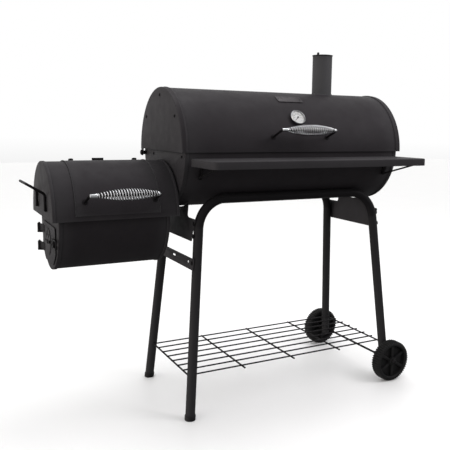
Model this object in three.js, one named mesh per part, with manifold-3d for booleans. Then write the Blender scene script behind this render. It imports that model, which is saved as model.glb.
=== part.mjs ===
// A barrel charcoal grill with a side firebox, in millimetres, +Z up.
// Working frame: X along the barrel with the firebox at -X, Y to the back, the floor at z = 0 and the
// middle of the barrel at x = y = 0. The last lines move the origin to the middle of the footprint.
import * as THREE from 'three';
import Module from 'manifold-3d';
import { mergeVertices } from 'three/addons/utils/BufferGeometryUtils.js';

// ---- Driving dimensions ----
const sheet = 1.6;              // steel sheet of the barrel, firebox, shelf and aprons
const gap = 0.4;                // between pieces that touch
const ovalSteps = 20;           // facets on half an oval

// Main barrel: half ovals above and below the rim.
const rimHeight = 866;
const barrelLength = 847;
const bodyHalfWidth = 188;
const bodyDepth = 189;
const bodyLap = 8;              // the body's rim stands this far up inside the lid
const bodyFlange = 14;
const lidOverhang = 12.5;       // past the body at each end
const lidMargin = 6.5;          // past the body in front and behind
const lidRise = 209;
const lidFlange = 22;
const hingeInset = 10;          // from the body's back
const hingeDrop = 14;           // below the rim
const hingeEar = 14;            // half the ear on each end of the lid
const hingeBoltRadius = 4;
const hingeNut = 5;
const hingeNutRadius = 5.2;

// Chimney and damper on the lid.
const chimneyInset = 213.5;     // from the body's right end
const chimneyRadius = 36.5;
const chimneyRise = 139;        // above the lid's crest
const chimneySkirt = 30;        // below it, inside
const damperLip = 2;            // past the chimney all round
const damperThickness = 2.5;
const damperPinInset = 7.5;     // from the chimney's outside
const damperPinRadius = 2.2;
const damperPinRise = 12;

// Thermometer, name plate and handle, placed by their angle round the lid, up from the rim.
const dialX = -1;
const dialAngle = 33;
const bezelRadius = 28;
const bezelDepth = 12;
const stemRadius = 4;
const stemLength = 32;
const needleRestTurn = 135;     // degrees from upright to the cold end of the scale
const plateX = 4;
const plateAngle = 59.3;
const plateLength = 100;
const plateWidth = 35;
const lidHandleAngle = 14;

// Spring handles, the same on both lids.
const handleSpan = 108;         // half the distance between the arms
const handleReach = 62;         // from the lid to the rod
const handleTilt = 22.4;        // degrees that the arms rise
const handleRodRadius = 4;
const gripHalfLength = 90;
const gripEndRadius = 7;
const gripMiddleRadius = 18.5;
const gripWall = 3;
const gripClearance = 0.8;

// Firebox: a trough with a hood over it and a curved lid in the hood.
const fireboxDrop = 11;         // from the barrel's bottom down to the hood's rim
const hoodHalfWidth = 160.5;
const hoodRise = 170;
const hoodLength = 392;
const hoodFlange = 10;
const hoodToBarrel = 4.6;
const troughMargin = 24.5;      // from the hood's front to the trough's
const troughDepth = 169;
const troughInset = 22;         // from the hood's ends to the trough's
const troughFlange = 12;
const passageRadius = 58;
const passageMargin = 17;       // from the barrel's bottom to the passage
const collarLip = 5;            // past the sheet on each side
const collarRing = 14;
const fireLidLeftInset = 66;    // from the hood's left end
const fireLidRightInset = 63;
const fireLidEdge = 15;         // above the hood's rim
const fireLidOverlap = 9;       // over the edge of the hood's opening
const fireHandleAngle = 19.2;
const fireHandleShift = 7;      // right of the lid's middle
const fireHingeY = 45;
const fireHingeLeftInset = 35;  // from the lid's ends
const fireHingeRightInset = 18.4;
const fireHingeRadius = 5;
const fireHingeHalf = 4;        // half an eye's length
const fireHingeCheek = 2;
const fireHingePin = 2.5;
const lidStopShift = 10.4;      // left of the lid's middle
const lidStopHalf = 19;

// Ash door on the trough's left end. Heights are above the trough's bottom.
const doorMargin = 39;          // from the trough's front to the door's
const doorTopDrop = 25;         // below the hood's rim
const doorRise = 23;
const doorInset = 8;            // inside the trough's outline
const doorOverlap = 9;          // over the edge of the doorway
const doorHingeInset = 17;      // from the trough's back
const doorHingeOut = 9;
const doorHingeRises = [58, 117];
const doorHingeLength = 26;
const knuckleRadius = 5.5;
const doorPinRadius = 3;
const ventY = 5;
const ventRise = 88;
const ventSlots = 5;
const ventRadius = 28;
const ventSlotLength = 20;
const ventSlotWidth = 6;
const shutterRadius = 42;
const latchInset = 13;          // from the door's front edge
const latchRise = 96;
const latchReach = 44;
const latchHalfHeight = 12;

// Lift handle on the hood's left end. Heights are above the hood's rim.
const liftFrontY = -80;
const liftBackY = 58;
const liftFoot = 24;
const liftBend = 76;
const liftOut = 50;
const liftRise = 31;
const liftRadius = 4;

// Stand: two bent tubes, a foot cap on each left leg and wheels on the right legs.
const tubeRadius = 15.9;
const tubeWall = 1.3;
const footInset = 15.5;         // from the body's ends
const footY = 198.5;
const frameInset = 73.5;
const frameTopY = 137;
const frameBend = 104;
const footCapHeight = 16;
const footCapWall = 1.8;
const legEndDrop = 22;          // the right legs end this far below the axle
const apronDrop = 137;          // from the frame's top to the apron's bottom
const apronShoulderDrop = 63;
const apronRiser = 88;
const apronReach = 10;          // past the middle of the legs
const barDrop = 228;            // from the frame's top to the cross bar's bottom
const barHeight = 38;
const barFlange = 12;
const wheelRadius = 76;
const wheelWidth = 40;
const axleRadius = 4;
const axleClearance = 0.4;
const washer = 2;

// Bottom rack.
const rackHeight = 136;
const rackLongWire = 4;
const rackCrossWire = 5;
const rackLongCount = 8;
const rackCrossCount = 5;
const rackMargin = 3;           // between the outer wires and the legs
const rackOverhang = 7;         // of the long wires past the end cross wires
const rackSocket = 4;           // the end cross wires stop this far short of a leg's middle

// Front shelf.
const shelfDrop = 18;           // below the barrel's rim
const shelfStandoff = 12;       // from the barrel
const shelfDepth = 166;
const shelfInset = 16.5;        // from the body's ends
const shelfLip = 24;
const shelfCorner = 20;
const bracketInset = 57.5;      // from the body's ends
const bracketThickness = 4;
const bracketHeight = 82;
const braceRadius = 3;
const braceHoleIn = 21;         // in from the shelf's back edge
const braceHoleDrop = 64;       // below the shelf
const braceFarInset = 28;       // from the shelf's front edge

// Grates.
const cookDrop = 16;            // below the barrel's rim
const cookThickness = 6;
const coalRise = 63;            // above the barrel's bottom
const fireGrateRise = 63;       // above the trough's bottom
const grateThickness = 5;
const grateClearance = 2;
const ledgeClearance = 0.8;
const ledgeWidth = 16;
const ledgeThickness = 3;

// ---- Sizes worked out from those ----
const barrelEnd = barrelLength / 2;
const barrelBottom = rimHeight - bodyDepth;
const lidEnd = barrelEnd + lidOverhang;
const lidHalfWidth = bodyHalfWidth + lidMargin;
const crest = rimHeight + lidRise;
const hingeY = bodyHalfWidth - hingeInset;
const hingeZ = rimHeight - hingeDrop;
const chimneyX = barrelEnd - chimneyInset;
const chimneyTop = crest + chimneyRise;
const damperPinY = chimneyRadius - damperPinInset;

const hoodRim = barrelBottom - fireboxDrop;
const hoodRight = -barrelEnd - hoodToBarrel;
const hoodLeft = hoodRight - hoodLength;
const troughHalfWidth = hoodHalfWidth - troughMargin;
const troughBottom = hoodRim - troughDepth;
const troughRight = hoodRight - troughInset;
const troughLeft = hoodLeft + troughInset;
const passageHeight = barrelBottom + passageRadius + passageMargin;
const fireLidLeft = hoodLeft + fireLidLeftInset;
const fireLidRight = hoodRight - fireLidRightInset;
const fireLidMiddle = (fireLidLeft + fireLidRight) / 2;

const doorHalfWidth = troughHalfWidth - doorMargin;
const doorTop = hoodRim - doorTopDrop;
const doorBottom = troughBottom + doorRise;
const doorHingeY = troughHalfWidth - doorHingeInset;
const doorHingeHeights = doorHingeRises.map((rise) => troughBottom + rise);
const ventHeight = troughBottom + ventRise;
const latchY = latchInset - doorHalfWidth;
const latchHeight = troughBottom + latchRise;

// The frames' top tubes touch the barrel's body.
const footX = barrelEnd - footInset;
const frameTopX = barrelEnd - frameInset;
const besideTube = tubeRadius + gap;
const frameTopZ = rimHeight
  - (bodyDepth + besideTube) * Math.sqrt(1 - (frameTopY / (bodyHalfWidth + besideTube)) ** 2);
const apronBottom = frameTopZ - apronDrop;
const apronShoulder = frameTopZ - apronShoulderDrop;
const barBottom = frameTopZ - barDrop;

const shelfHeight = rimHeight - shelfDrop;
const shelfBack = -bodyHalfWidth - shelfStandoff;
const shelfFront = shelfBack - shelfDepth;
const shelfHalfLength = barrelEnd - shelfInset;
const bracketX = barrelEnd - bracketInset;
const braceHoleY = shelfBack + braceHoleIn;
const braceHoleZ = shelfHeight - braceHoleDrop;

const cookHeight = rimHeight - cookDrop;
const coalHeight = barrelBottom + coalRise;
const fireGrateHeight = troughBottom + fireGrateRise;

// ---- Geometry helpers ----
const wasm = await Module();
wasm.setup();

// A closed geometry as a manifold-3d solid, without the empty triangles at a lathe's poles.
function toSolid(geometry) {
  const bare = geometry.index ? geometry.toNonIndexed() : geometry.clone();
  bare.deleteAttribute('normal');
  bare.deleteAttribute('uv');
  const merged = mergeVertices(bare, 1e-3);
  const corners = merged.index.array;
  const kept = [];
  for (let i = 0; i < corners.length; i += 3) {
    const [a, b, c] = corners.slice(i, i + 3);
    if (a !== b && b !== c && c !== a) kept.push(a, b, c);
  }
  return new wasm.Manifold(new wasm.Mesh({
    numProp: 3,
    vertProperties: merged.attributes.position.array,
    triVerts: new Uint32Array(kept),
  }));
}

function toGeometry(solid) {
  const mesh = solid.getMesh();
  const geometry = new THREE.BufferGeometry();
  geometry.setAttribute('position', new THREE.BufferAttribute(mesh.vertProperties, 3));
  geometry.setIndex(new THREE.BufferAttribute(mesh.triVerts, 1));
  geometry.computeVertexNormals();
  return geometry;
}

function join(...geometries) {
  return toGeometry(geometries.map(toSolid).reduce((all, next) => all.add(next)));
}

function cut(geometry, ...tools) {
  return toGeometry(tools.map(toSolid).reduce((left, tool) => left.subtract(tool), toSolid(geometry)));
}

function common(geometry, other) {
  return toGeometry(toSolid(geometry).intersect(toSolid(other)));
}

function box(x0, x1, y0, y1, z0, z1) {
  const block = new THREE.BoxGeometry(Math.abs(x1 - x0), Math.abs(y1 - y0), Math.abs(z1 - z0));
  return block.translate((x0 + x1) / 2, (y0 + y1) / 2, (z0 + z1) / 2);
}

// Turns +Z to the given direction and moves the geometry's origin to the point.
function aim(geometry, point, direction) {
  const turn = new THREE.Quaternion().setFromUnitVectors(
    new THREE.Vector3(0, 0, 1), direction.clone().normalize());
  return geometry.applyQuaternion(turn).translate(point.x, point.y, point.z);
}

// A round bar between two points.
function bar(from, to, radius, sides = 12) {
  const along = to.clone().sub(from);
  const length = along.length();
  const upright = new THREE.CylinderGeometry(radius, radius, length, sides);
  upright.rotateX(Math.PI / 2).translate(0, 0, length / 2);
  return aim(upright, from, along);
}

function point(x, y, z) {
  return new THREE.Vector3(x, y, z);
}

// A solid of revolution about Z from [radius, height] pairs that go up the outside.
function turned(profile, sides = 24) {
  const points = profile.map(([radius, height]) => new THREE.Vector2(radius, height));
  return toGeometry(toSolid(new THREE.LatheGeometry(points, sides).rotateX(Math.PI / 2)));
}

// Extrusions: an outline drawn in (y, z) run along X, one in (x, z) along Y, one in (x, y) along Z.
function alongX(outline, x0, x1) {
  const basis = new THREE.Matrix4().makeBasis(point(0, 1, 0), point(0, 0, 1), point(1, 0, 0));
  const low = Math.min(x0, x1);
  const depth = Math.abs(x1 - x0);
  return new THREE.ExtrudeGeometry(outline, { depth, bevelEnabled: false, curveSegments: 6 })
    .applyMatrix4(basis).translate(low, 0, 0);
}

function alongZ(outline, z0, z1) {
  return new THREE.ExtrudeGeometry(outline, { depth: z1 - z0, bevelEnabled: false, curveSegments: 6 })
    .translate(0, 0, z0);
}

// A path through corners, with each inner corner rounded to the bend radius.
function roundedPath(corners, bend, steps) {
  const path = [corners[0]];
  for (let i = 1; i < corners.length - 1; i++) {
    const back = corners[i - 1].clone().sub(corners[i]).normalize();
    const ahead = corners[i + 1].clone().sub(corners[i]).normalize();
    const opening = back.angleTo(ahead);
    const turn = Math.PI - opening;
    const centre = back.clone().add(ahead).normalize()
      .multiplyScalar(bend / Math.sin(opening / 2)).add(corners[i]);
    const reach = bend / Math.tan(opening / 2);
    const first = corners[i].clone().addScaledVector(back, reach).sub(centre);
    const last = corners[i].clone().addScaledVector(ahead, reach).sub(centre);
    for (let k = 0; k <= steps; k++) {
      const angle = turn * k / steps;
      path.push(first.clone().multiplyScalar(Math.sin(turn - angle) / Math.sin(turn))
        .addScaledVector(last, Math.sin(angle) / Math.sin(turn)).add(centre));
    }
  }
  path.push(corners[corners.length - 1]);
  return path;
}

// A curve through a list of points, one extrusion step to each.
class Route extends THREE.Curve {
  constructor(points) {
    super();
    this.points = points;
  }
  getUtoTmapping(u) {
    return u;
  }
  getPoint(t, target = new THREE.Vector3()) {
    const place = Math.min(t, 1) * (this.points.length - 1);
    const index = Math.min(Math.floor(place), this.points.length - 2);
    return target.lerpVectors(this.points[index], this.points[index + 1], place - index);
  }
}

function circlePoints(radius, sides) {
  const turns = Array.from({ length: sides }, (_, i) => 2 * Math.PI * (i + 0.5) / sides);
  return turns.map((turn) => new THREE.Vector2(radius * Math.cos(turn), radius * Math.sin(turn)));
}

// A bent rod, or a bent tube when it has a wall.
function bentRod(corners, radius, bend, { sides = 10, steps = 5, wall = 0 } = {}) {
  const outline = new THREE.Shape(circlePoints(radius, sides));
  if (wall > 0) outline.holes.push(new THREE.Path(circlePoints(radius - wall, sides).reverse()));
  const route = new Route(roundedPath(corners, bend, steps));
  return new THREE.ExtrudeGeometry(outline, { steps: route.points.length - 1, extrudePath: route });
}

// Half an oval in (y, z): side 1 is the upper half and -1 the lower, and lap carries both ends
// straight on past the rim.
function ovalPoints(halfWidth, height, side, rim, lap = 0) {
  const points = [];
  if (lap > 0) points.push(new THREE.Vector2(-halfWidth, rim - side * lap));
  for (let i = 0; i <= ovalSteps; i++) {
    const angle = Math.PI * (1 - i / ovalSteps);
    points.push(new THREE.Vector2(halfWidth * Math.cos(angle), rim + side * height * Math.sin(angle)));
  }
  if (lap > 0) points.push(new THREE.Vector2(halfWidth, rim - side * lap));
  return points;
}

function wallOutline(halfWidth, height, side, rim, lap, wall = sheet) {
  const outer = ovalPoints(halfWidth, height, side, rim, lap);
  const inner = ovalPoints(halfWidth - wall, height - wall, side, rim, lap);
  return new THREE.Shape([...outer, ...inner.reverse()]);
}

// Half the width of a lower half oval at a height.
function widthAt(halfWidth, depth, rim, height) {
  return halfWidth * Math.sqrt(1 - ((rim - height) / depth) ** 2);
}

// A pressed end: a flat plate with a flange turned in over the shell. facing is -1 on a left end.
function endCap({ halfWidth, height, side, rim, lap = 0, outerX, facing, flange }) {
  const inward = -facing;
  const outline = new THREE.Shape(ovalPoints(halfWidth, height, side, rim, lap));
  const hollow = new THREE.Shape(ovalPoints(halfWidth - sheet, height - sheet, side, rim, lap + 5));
  return cut(alongX(outline, outerX, outerX + inward * flange),
    alongX(hollow, outerX + inward * sheet, outerX + inward * (flange + 5)));
}

// The shell that fits inside two end caps.
function shell({ halfWidth, height, side, rim, lap = 0, left, right }) {
  const inset = sheet + gap;
  return alongX(wallOutline(halfWidth - inset, height - inset, side, rim, lap), left + inset, right - inset);
}

// ---- The assembly ----
const grill = new THREE.Group();
const paint = { color: 0x232324, roughness: 0.55, metalness: 0.3 };
const darkPaint = { color: 0x1a1a1b, roughness: 0.6, metalness: 0.3 };
const chrome = { color: 0xd9dadc, roughness: 0.15, metalness: 1 };
const plastic = { color: 0x1c1c1e, roughness: 0.6, metalness: 0 };
const bareWire = { color: 0x5c5c5e, roughness: 0.5, metalness: 0.8 };

function add(name, geometry, look) {
  const mesh = new THREE.Mesh(geometry, new THREE.MeshStandardMaterial(look));
  mesh.name = name;
  grill.add(mesh);
}

// Both lids carry fittings that stand square on an oval: the point on its front at an angle up from
// the rim, and the outward direction there.
function onOval(halfWidth, rise, rim, x, degrees) {
  const [across, up] = [Math.cos(THREE.MathUtils.degToRad(degrees)), Math.sin(THREE.MathUtils.degToRad(degrees))];
  return {
    foot: point(x, -halfWidth * across, rim + rise * up),
    out: point(0, -across / halfWidth, up / rise).normalize(),
  };
}

// ---- Stand ----
// The middle of a leg at a height. end is -1 for the left legs, and row is -1 for the front frame.
function legAt(end, row, z) {
  const share = z / frameTopZ;
  return point(
    end * THREE.MathUtils.lerp(footX, frameTopX, share),
    row * THREE.MathUtils.lerp(footY, frameTopY, share), z);
}
const legSlope = (footX - frameTopX) / frameTopZ;
const axleX = legAt(1, 1, wheelRadius).x;
const legStartZ = 6;

function legFrame(row) {
  const corners = [
    legAt(-1, row, legStartZ), legAt(-1, row, frameTopZ),
    legAt(1, row, frameTopZ), legAt(1, row, wheelRadius - legEndDrop),
  ];
  const tube = bentRod(corners, tubeRadius, frameBend, { sides: 12, steps: 5, wall: tubeWall });
  const axleHole = bar(point(axleX, -footY - tubeRadius, wheelRadius),
    point(axleX, footY + tubeRadius, wheelRadius), axleRadius + gap);
  const wireZ = rackHeight - rackCrossWire / 2;
  const wireHoles = [-1, 1].map((end) => {
    const at = legAt(end, row, wireZ);
    return bar(at, point(at.x, at.y - row * 2 * tubeRadius, wireZ), rackCrossWire * Math.SQRT1_2 + gap, 8);
  });
  return cut(tube, axleHole, ...wireHoles);
}
add('front_leg_frame', legFrame(-1), paint);
add('rear_leg_frame', legFrame(1), paint);

// A plastic cup on the end of a left leg, cut flat where it stands on the floor.
function footCap(row) {
  const low = legAt(-1, row, -legStartZ);
  const high = legAt(-1, row, footCapHeight);
  const seat = legAt(-1, row, legStartZ - gap);
  const reach = 2 * tubeRadius;
  return cut(bar(low, high, besideTube + footCapWall, 16),
    bar(seat, legAt(-1, row, footCapHeight + reach), besideTube, 16),
    box(low.x - reach, low.x + reach, low.y - reach, low.y + reach, -reach, 0));
}
add('front_foot_cap', footCap(-1), plastic);
add('rear_foot_cap', footCap(1), plastic);

// Sheets on the outside of the legs lean with them.
function leanWithLegs(geometry, end) {
  return geometry.applyMatrix4(new THREE.Matrix4().set(
    1, 0, -end * legSlope, 0, 0, 1, 0, 0, 0, 0, 1, 0, 0, 0, 0, 1));
}
const legFace = footX + besideTube * Math.hypot(1, legSlope);

function apron(end) {
  const outline = new THREE.Shape();
  const low = -legAt(1, -1, apronBottom).y + apronReach;
  const high = -legAt(1, -1, apronShoulder).y + apronReach;
  const corner = 12;
  outline.moveTo(-low, apronBottom);
  outline.lineTo(low, apronBottom);
  outline.lineTo(high, apronShoulder);
  outline.lineTo(apronRiser + corner, apronShoulder);
  outline.absarc(apronRiser + corner, apronShoulder + corner, corner, -Math.PI / 2, -Math.PI, true);
  const saddle = ovalPoints(bodyHalfWidth + 2 * gap, bodyDepth + 2 * gap, -1, rimHeight);
  for (const place of saddle.reverse()) {
    if (Math.abs(place.x) < apronRiser) outline.lineTo(place.x, place.y);
  }
  outline.absarc(-apronRiser - corner, apronShoulder + corner, corner, 0, -Math.PI / 2, true);
  outline.lineTo(-high, apronShoulder);
  outline.closePath();
  return leanWithLegs(alongX(outline, end * legFace, end * (legFace + sheet)), end);
}
add('left_apron', apron(-1), paint);
add('right_apron', apron(1), paint);

function crossBar() {
  const half = -legAt(-1, -1, barBottom).y + apronReach;
  const top = barBottom + barHeight;
  const web = box(-legFace, -legFace - sheet, -half, half, barBottom, top);
  const flange = box(-legFace, -legFace - barFlange, -half, half, top - sheet, top);
  const middle = barBottom + 0.6 * barHeight;
  const through = [
    box(-legFace - 5, -legFace + 5, -12, 12, middle - 3, middle + 3),
    ...[-123, 123].map((y) => bar(point(-legFace - 5, y, middle), point(-legFace + 5, y, middle), 4.5, 10)),
  ];
  return leanWithLegs(cut(join(web, flange), ...through), -1);
}
add('left_cross_bar', crossBar(), paint);

// Long wires lie on the cross wires. The two end cross wires reach into holes in the legs.
function bottomRack() {
  const weld = 0.6;
  const rods = [];
  const leg = legAt(1, 1, rackHeight - rackCrossWire / 2);
  const halfLength = leg.x + rackOverhang;
  const halfWidth = leg.y - tubeRadius - rackLongWire / 2 - rackMargin;
  for (let i = 0; i < rackLongCount; i++) {
    const y = THREE.MathUtils.lerp(-halfWidth, halfWidth, i / (rackLongCount - 1));
    rods.push(box(-halfLength, halfLength, y - rackLongWire / 2, y + rackLongWire / 2,
      rackHeight - weld, rackHeight - weld + rackLongWire));
  }
  for (let i = 0; i < rackCrossCount; i++) {
    const x = THREE.MathUtils.lerp(-leg.x, leg.x, i / (rackCrossCount - 1));
    rods.push(box(x - rackCrossWire / 2, x + rackCrossWire / 2, rackSocket - leg.y, leg.y - rackSocket,
      rackHeight - rackCrossWire, rackHeight));
  }
  return join(...rods);
}
add('bottom_rack', bottomRack(), bareWire);

// ---- Axle and wheels ----
const wheelY = legAt(1, 1, wheelRadius).y + tubeRadius + washer + wheelWidth / 2;
const capLength = 8;
const axleSeat = wheelY + wheelWidth / 2 + gap;
const axleHalf = axleSeat + capLength;
// The axle with a push-on cap at each end.
add('axle', aim(turned([[0, -axleHalf], [6.5, -axleHalf], [9, 4 - axleHalf], [9, -axleSeat],
  [axleRadius, -axleSeat], [axleRadius, axleSeat], [9, axleSeat], [9, axleHalf - 4], [6.5, axleHalf],
  [0, axleHalf]], 14), point(axleX, 0, wheelRadius), point(0, 1, 0)), bareWire);

function wheel(row) {
  const half = wheelWidth / 2;
  const bore = axleRadius + axleClearance;
  const hub = 15;
  const rim = wheelRadius - 17;
  const web = 7;
  const profile = [
    [bore, -half], [hub, -half], [hub, -web], [rim, -web], [rim, -half + 2], [wheelRadius - 4, -half + 2],
    [wheelRadius, -half + 6], [wheelRadius, half - 6], [wheelRadius - 4, half - 2], [rim, half - 2],
    [rim, web], [hub, web], [hub, half], [bore, half], [bore, -half],
  ];
  const disc = turned(profile, 24);
  const pockets = Array.from({ length: 5 }, (_, i) => {
    const turn = 2 * Math.PI * i / 5;
    const reach = (hub + rim) / 2;
    const at = point(reach * Math.cos(turn), reach * Math.sin(turn), -half);
    return bar(at, at.clone().setZ(half), 13, 8);
  });
  return aim(cut(disc, ...pockets), point(axleX, row * wheelY, wheelRadius), point(0, row, 0));
}

add('front_wheel', wheel(-1), plastic);
add('rear_wheel', wheel(1), plastic);

// ---- Barrel body ----
const body = { halfWidth: bodyHalfWidth, height: bodyDepth, side: -1, rim: rimHeight, lap: bodyLap };
const bodyInner = bodyHalfWidth - 2 * sheet - gap;
const bodyInnerDepth = bodyDepth - 2 * sheet - gap;
const passage = passageRadius + sheet + gap;

// A round hole through a sheet that faces along X.
function holeAlongX(x, y, z, radius, sides = 12) {
  return bar(point(x - 30, y, z), point(x + 30, y, z), radius, sides);
}

add('barrel_body', shell({ ...body, left: -barrelEnd, right: barrelEnd }), paint);
for (const [side, end] of [['left', -1], ['right', 1]]) {
  const x = end * barrelEnd;
  const holes = [holeAlongX(x, hingeY, hingeZ, hingeBoltRadius + gap)];
  if (end < 0) holes.push(holeAlongX(x, 0, passageHeight, passage, 28));
  add(`barrel_${side}_end`, cut(endCap({ ...body, outerX: x, facing: end, flange: bodyFlange }), ...holes), paint);
}

// ---- Main lid ----
const lidOval = { halfWidth: lidHalfWidth, height: lidRise, side: 1, rim: rimHeight };
const lidSkin = sheet + gap;    // from the end caps' outline in to the shell's
const dialSeat = onOval(lidHalfWidth - lidSkin, lidRise - lidSkin, rimHeight, dialX, dialAngle);
const plateSeat = onOval(lidHalfWidth - lidSkin, lidRise - lidSkin, rimHeight, plateX, plateAngle);

// The arms' feet and the rod of a spring handle on an oval lid.
function handlePlaces(halfWidth, rise, rim, middleX, degrees) {
  const tilt = THREE.MathUtils.degToRad(handleTilt);
  const out = point(0, -Math.cos(tilt), Math.sin(tilt));
  const feet = [-1, 1].map((side) => onOval(halfWidth, rise, rim, middleX + side * handleSpan, degrees).foot);
  return { out, feet, rod: feet.map((foot) => foot.clone().addScaledVector(out, handleReach)) };
}
const lidHandle = handlePlaces(lidHalfWidth - lidSkin, lidRise - lidSkin, rimHeight, 0, lidHandleAngle);

function armHoles({ feet, out }) {
  return feet.map((foot) => bar(foot.clone().addScaledVector(out, -20), foot.clone().addScaledVector(out, 20),
    handleRodRadius + gap, 12));
}

add('lid_shell', cut(shell({ ...lidOval, left: -lidEnd, right: lidEnd }),
  bar(point(chimneyX, 0, crest - 60), point(chimneyX, 0, crest + 20), chimneyRadius + gap, 28),
  bar(dialSeat.foot.clone().addScaledVector(dialSeat.out, -20),
    dialSeat.foot.clone().addScaledVector(dialSeat.out, 20), stemRadius + gap, 12),
  ...armHoles(lidHandle)), paint);

for (const [side, end] of [['left', -1], ['right', 1]]) {
  const x = end * lidEnd;
  const ear = box(x, x - end * sheet, hingeY - hingeEar, hingeY + hingeEar, hingeZ - hingeEar, rimHeight + 1);
  const cap = join(endCap({ ...lidOval, outerX: x, facing: end, flange: lidFlange }), ear);
  add(`lid_${side}_end`, cut(cap, holeAlongX(x, hingeY, hingeZ, hingeBoltRadius + gap)), paint);
  // The hinge bolt: nut, shank through the body's end, shoulder, shank through the lid's end, head.
  const inner = barrelEnd - sheet - gap;
  const shoulder = barrelEnd + gap;
  const outer = lidEnd - sheet - gap;
  const head = lidEnd + gap;
  const bolt = turned([[0, inner - hingeNut], [hingeNutRadius, inner - hingeNut], [hingeNutRadius, inner],
    [hingeBoltRadius, inner], [hingeBoltRadius, shoulder], [7, shoulder], [7, outer], [hingeBoltRadius, outer],
    [hingeBoltRadius, head], [9.5, head], [9.5, head + 4], [6, head + 6], [0, head + 6]], 14);
  add(`lid_hinge_bolt_${side}`, aim(bolt, point(0, hingeY, hingeZ), point(end, 0, 0)), darkPaint);
}

// ---- Chimney and damper ----
function chimney() {
  const bottom = crest - chimneySkirt;
  const inner = chimneyRadius - sheet;
  const pipe = turned([[inner, bottom], [chimneyRadius, bottom], [chimneyRadius, chimneyTop],
    [inner, chimneyTop], [inner, bottom]], 28);
  const lug = box(-6, 6, damperPinY - 6, inner + 0.6, chimneyTop - 14, chimneyTop - 1);
  const pinHole = bar(point(0, damperPinY, chimneyTop - 30), point(0, damperPinY, chimneyTop + 9),
    damperPinRadius + gap, 8);
  return cut(join(pipe, lug), pinHole).translate(chimneyX, 0, 0);
}
add('chimney', chimney(), paint);

const damperZ = chimneyTop + gap;
add('damper', cut(
  bar(point(chimneyX, 0, damperZ), point(chimneyX, 0, damperZ + damperThickness),
    chimneyRadius + damperLip, 28),
  bar(point(chimneyX, damperPinY, damperZ - 9), point(chimneyX, damperPinY, damperZ + 9),
    damperPinRadius + gap, 8)), darkPaint);

const pinTop = damperZ + damperThickness + gap;
const pinNut = chimneyTop - 14 - gap;
add('damper_pin', turned([[0, pinNut - 5], [4.5, pinNut - 5], [4.5, pinNut], [damperPinRadius, pinNut],
  [damperPinRadius, pinTop], [4.5, pinTop], [4.5, pinTop + damperPinRise], [3, pinTop + damperPinRise + 2],
  [0, pinTop + damperPinRise + 2]], 10)
  .translate(chimneyX, damperPinY, 0), darkPaint);

// ---- Thermometer: a cup with a stem and its nut through the lid, a dial, a needle and a lens ----
const dialDepth = 7;            // from the bezel's front down to the dial
const lensThickness = 1.2;
function onDial(geometry) {
  return aim(geometry, dialSeat.foot, dialSeat.out);
}
const caseBack = 1.2;
const faceRadius = bezelRadius - 3;
add('thermometer_case', onDial(turned([[0, -stemLength], [stemRadius, -stemLength], [stemRadius, -9], [8, -9], [8, -4.4],
  [stemRadius, -4.4], [stemRadius, caseBack], [bezelRadius - 2, caseBack], [bezelRadius, caseBack + 2], [bezelRadius, bezelDepth - 1.5],
  [bezelRadius - 1.5, bezelDepth], [faceRadius, bezelDepth], [faceRadius, bezelDepth - dialDepth - gap],
  [0, bezelDepth - dialDepth - gap]], 20)), chrome);
const dialBack = bezelDepth - dialDepth;
add('thermometer_dial', onDial(turned([[0, dialBack], [faceRadius - gap, dialBack],
  [faceRadius - gap, dialBack + 1], [1.6, dialBack + 1], [1.6, dialBack + 2.2], [0, dialBack + 2.2]], 24)),
  { color: 0xf2f2ee, roughness: 0.5, metalness: 0 });
const needleBack = dialBack + 1 + gap;
const needleBar = box(-0.9, 0.9, -6, faceRadius - 5, needleBack, needleBack + 0.7);
const needleHub = bar(point(0, 0, needleBack), point(0, 0, needleBack + 0.7), 3.4, 12);
const needleHole = bar(point(0, 0, dialBack), point(0, 0, dialBack + 6), 2, 12);
const needleRest = THREE.MathUtils.degToRad(needleRestTurn);
add('thermometer_needle', onDial(cut(join(needleHub, needleBar), needleHole).rotateZ(needleRest)),
  { color: 0x202020, roughness: 0.5, metalness: 0.2 });
add('thermometer_lens', onDial(bar(point(0, 0, bezelDepth - 0.4 - lensThickness),
  point(0, 0, bezelDepth - 0.4), faceRadius - gap, 24)), { color: 0xffffff, roughness: 0.05, metalness: 0 });

// ---- Blank name plate ----
function namePlate() {
  const [halfLength, halfWidth, corner] = [plateLength / 2, plateWidth / 2, 4];
  const outline = new THREE.Shape();
  outline.absarc(halfLength - corner, halfWidth - corner, corner, 0, Math.PI / 2);
  outline.absarc(corner - halfLength, halfWidth - corner, corner, Math.PI / 2, Math.PI);
  outline.absarc(corner - halfLength, corner - halfWidth, corner, Math.PI, 1.5 * Math.PI);
  outline.absarc(halfLength - corner, corner - halfWidth, corner, 1.5 * Math.PI, 2 * Math.PI);
  return aim(alongZ(outline, gap, gap + 2), plateSeat.foot, plateSeat.out);
}
add('name_plate', namePlate(), { color: 0x9a9a9c, roughness: 0.35, metalness: 0.9 });

// ---- Spring handles ----
function handleRod({ feet, rod, out }) {
  const inside = feet.map((foot) => foot.clone().addScaledVector(out, -8));
  return bentRod([inside[0], rod[0], rod[1], inside[1]], handleRodRadius, 9, { sides: 8, steps: 4 });
}

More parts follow.
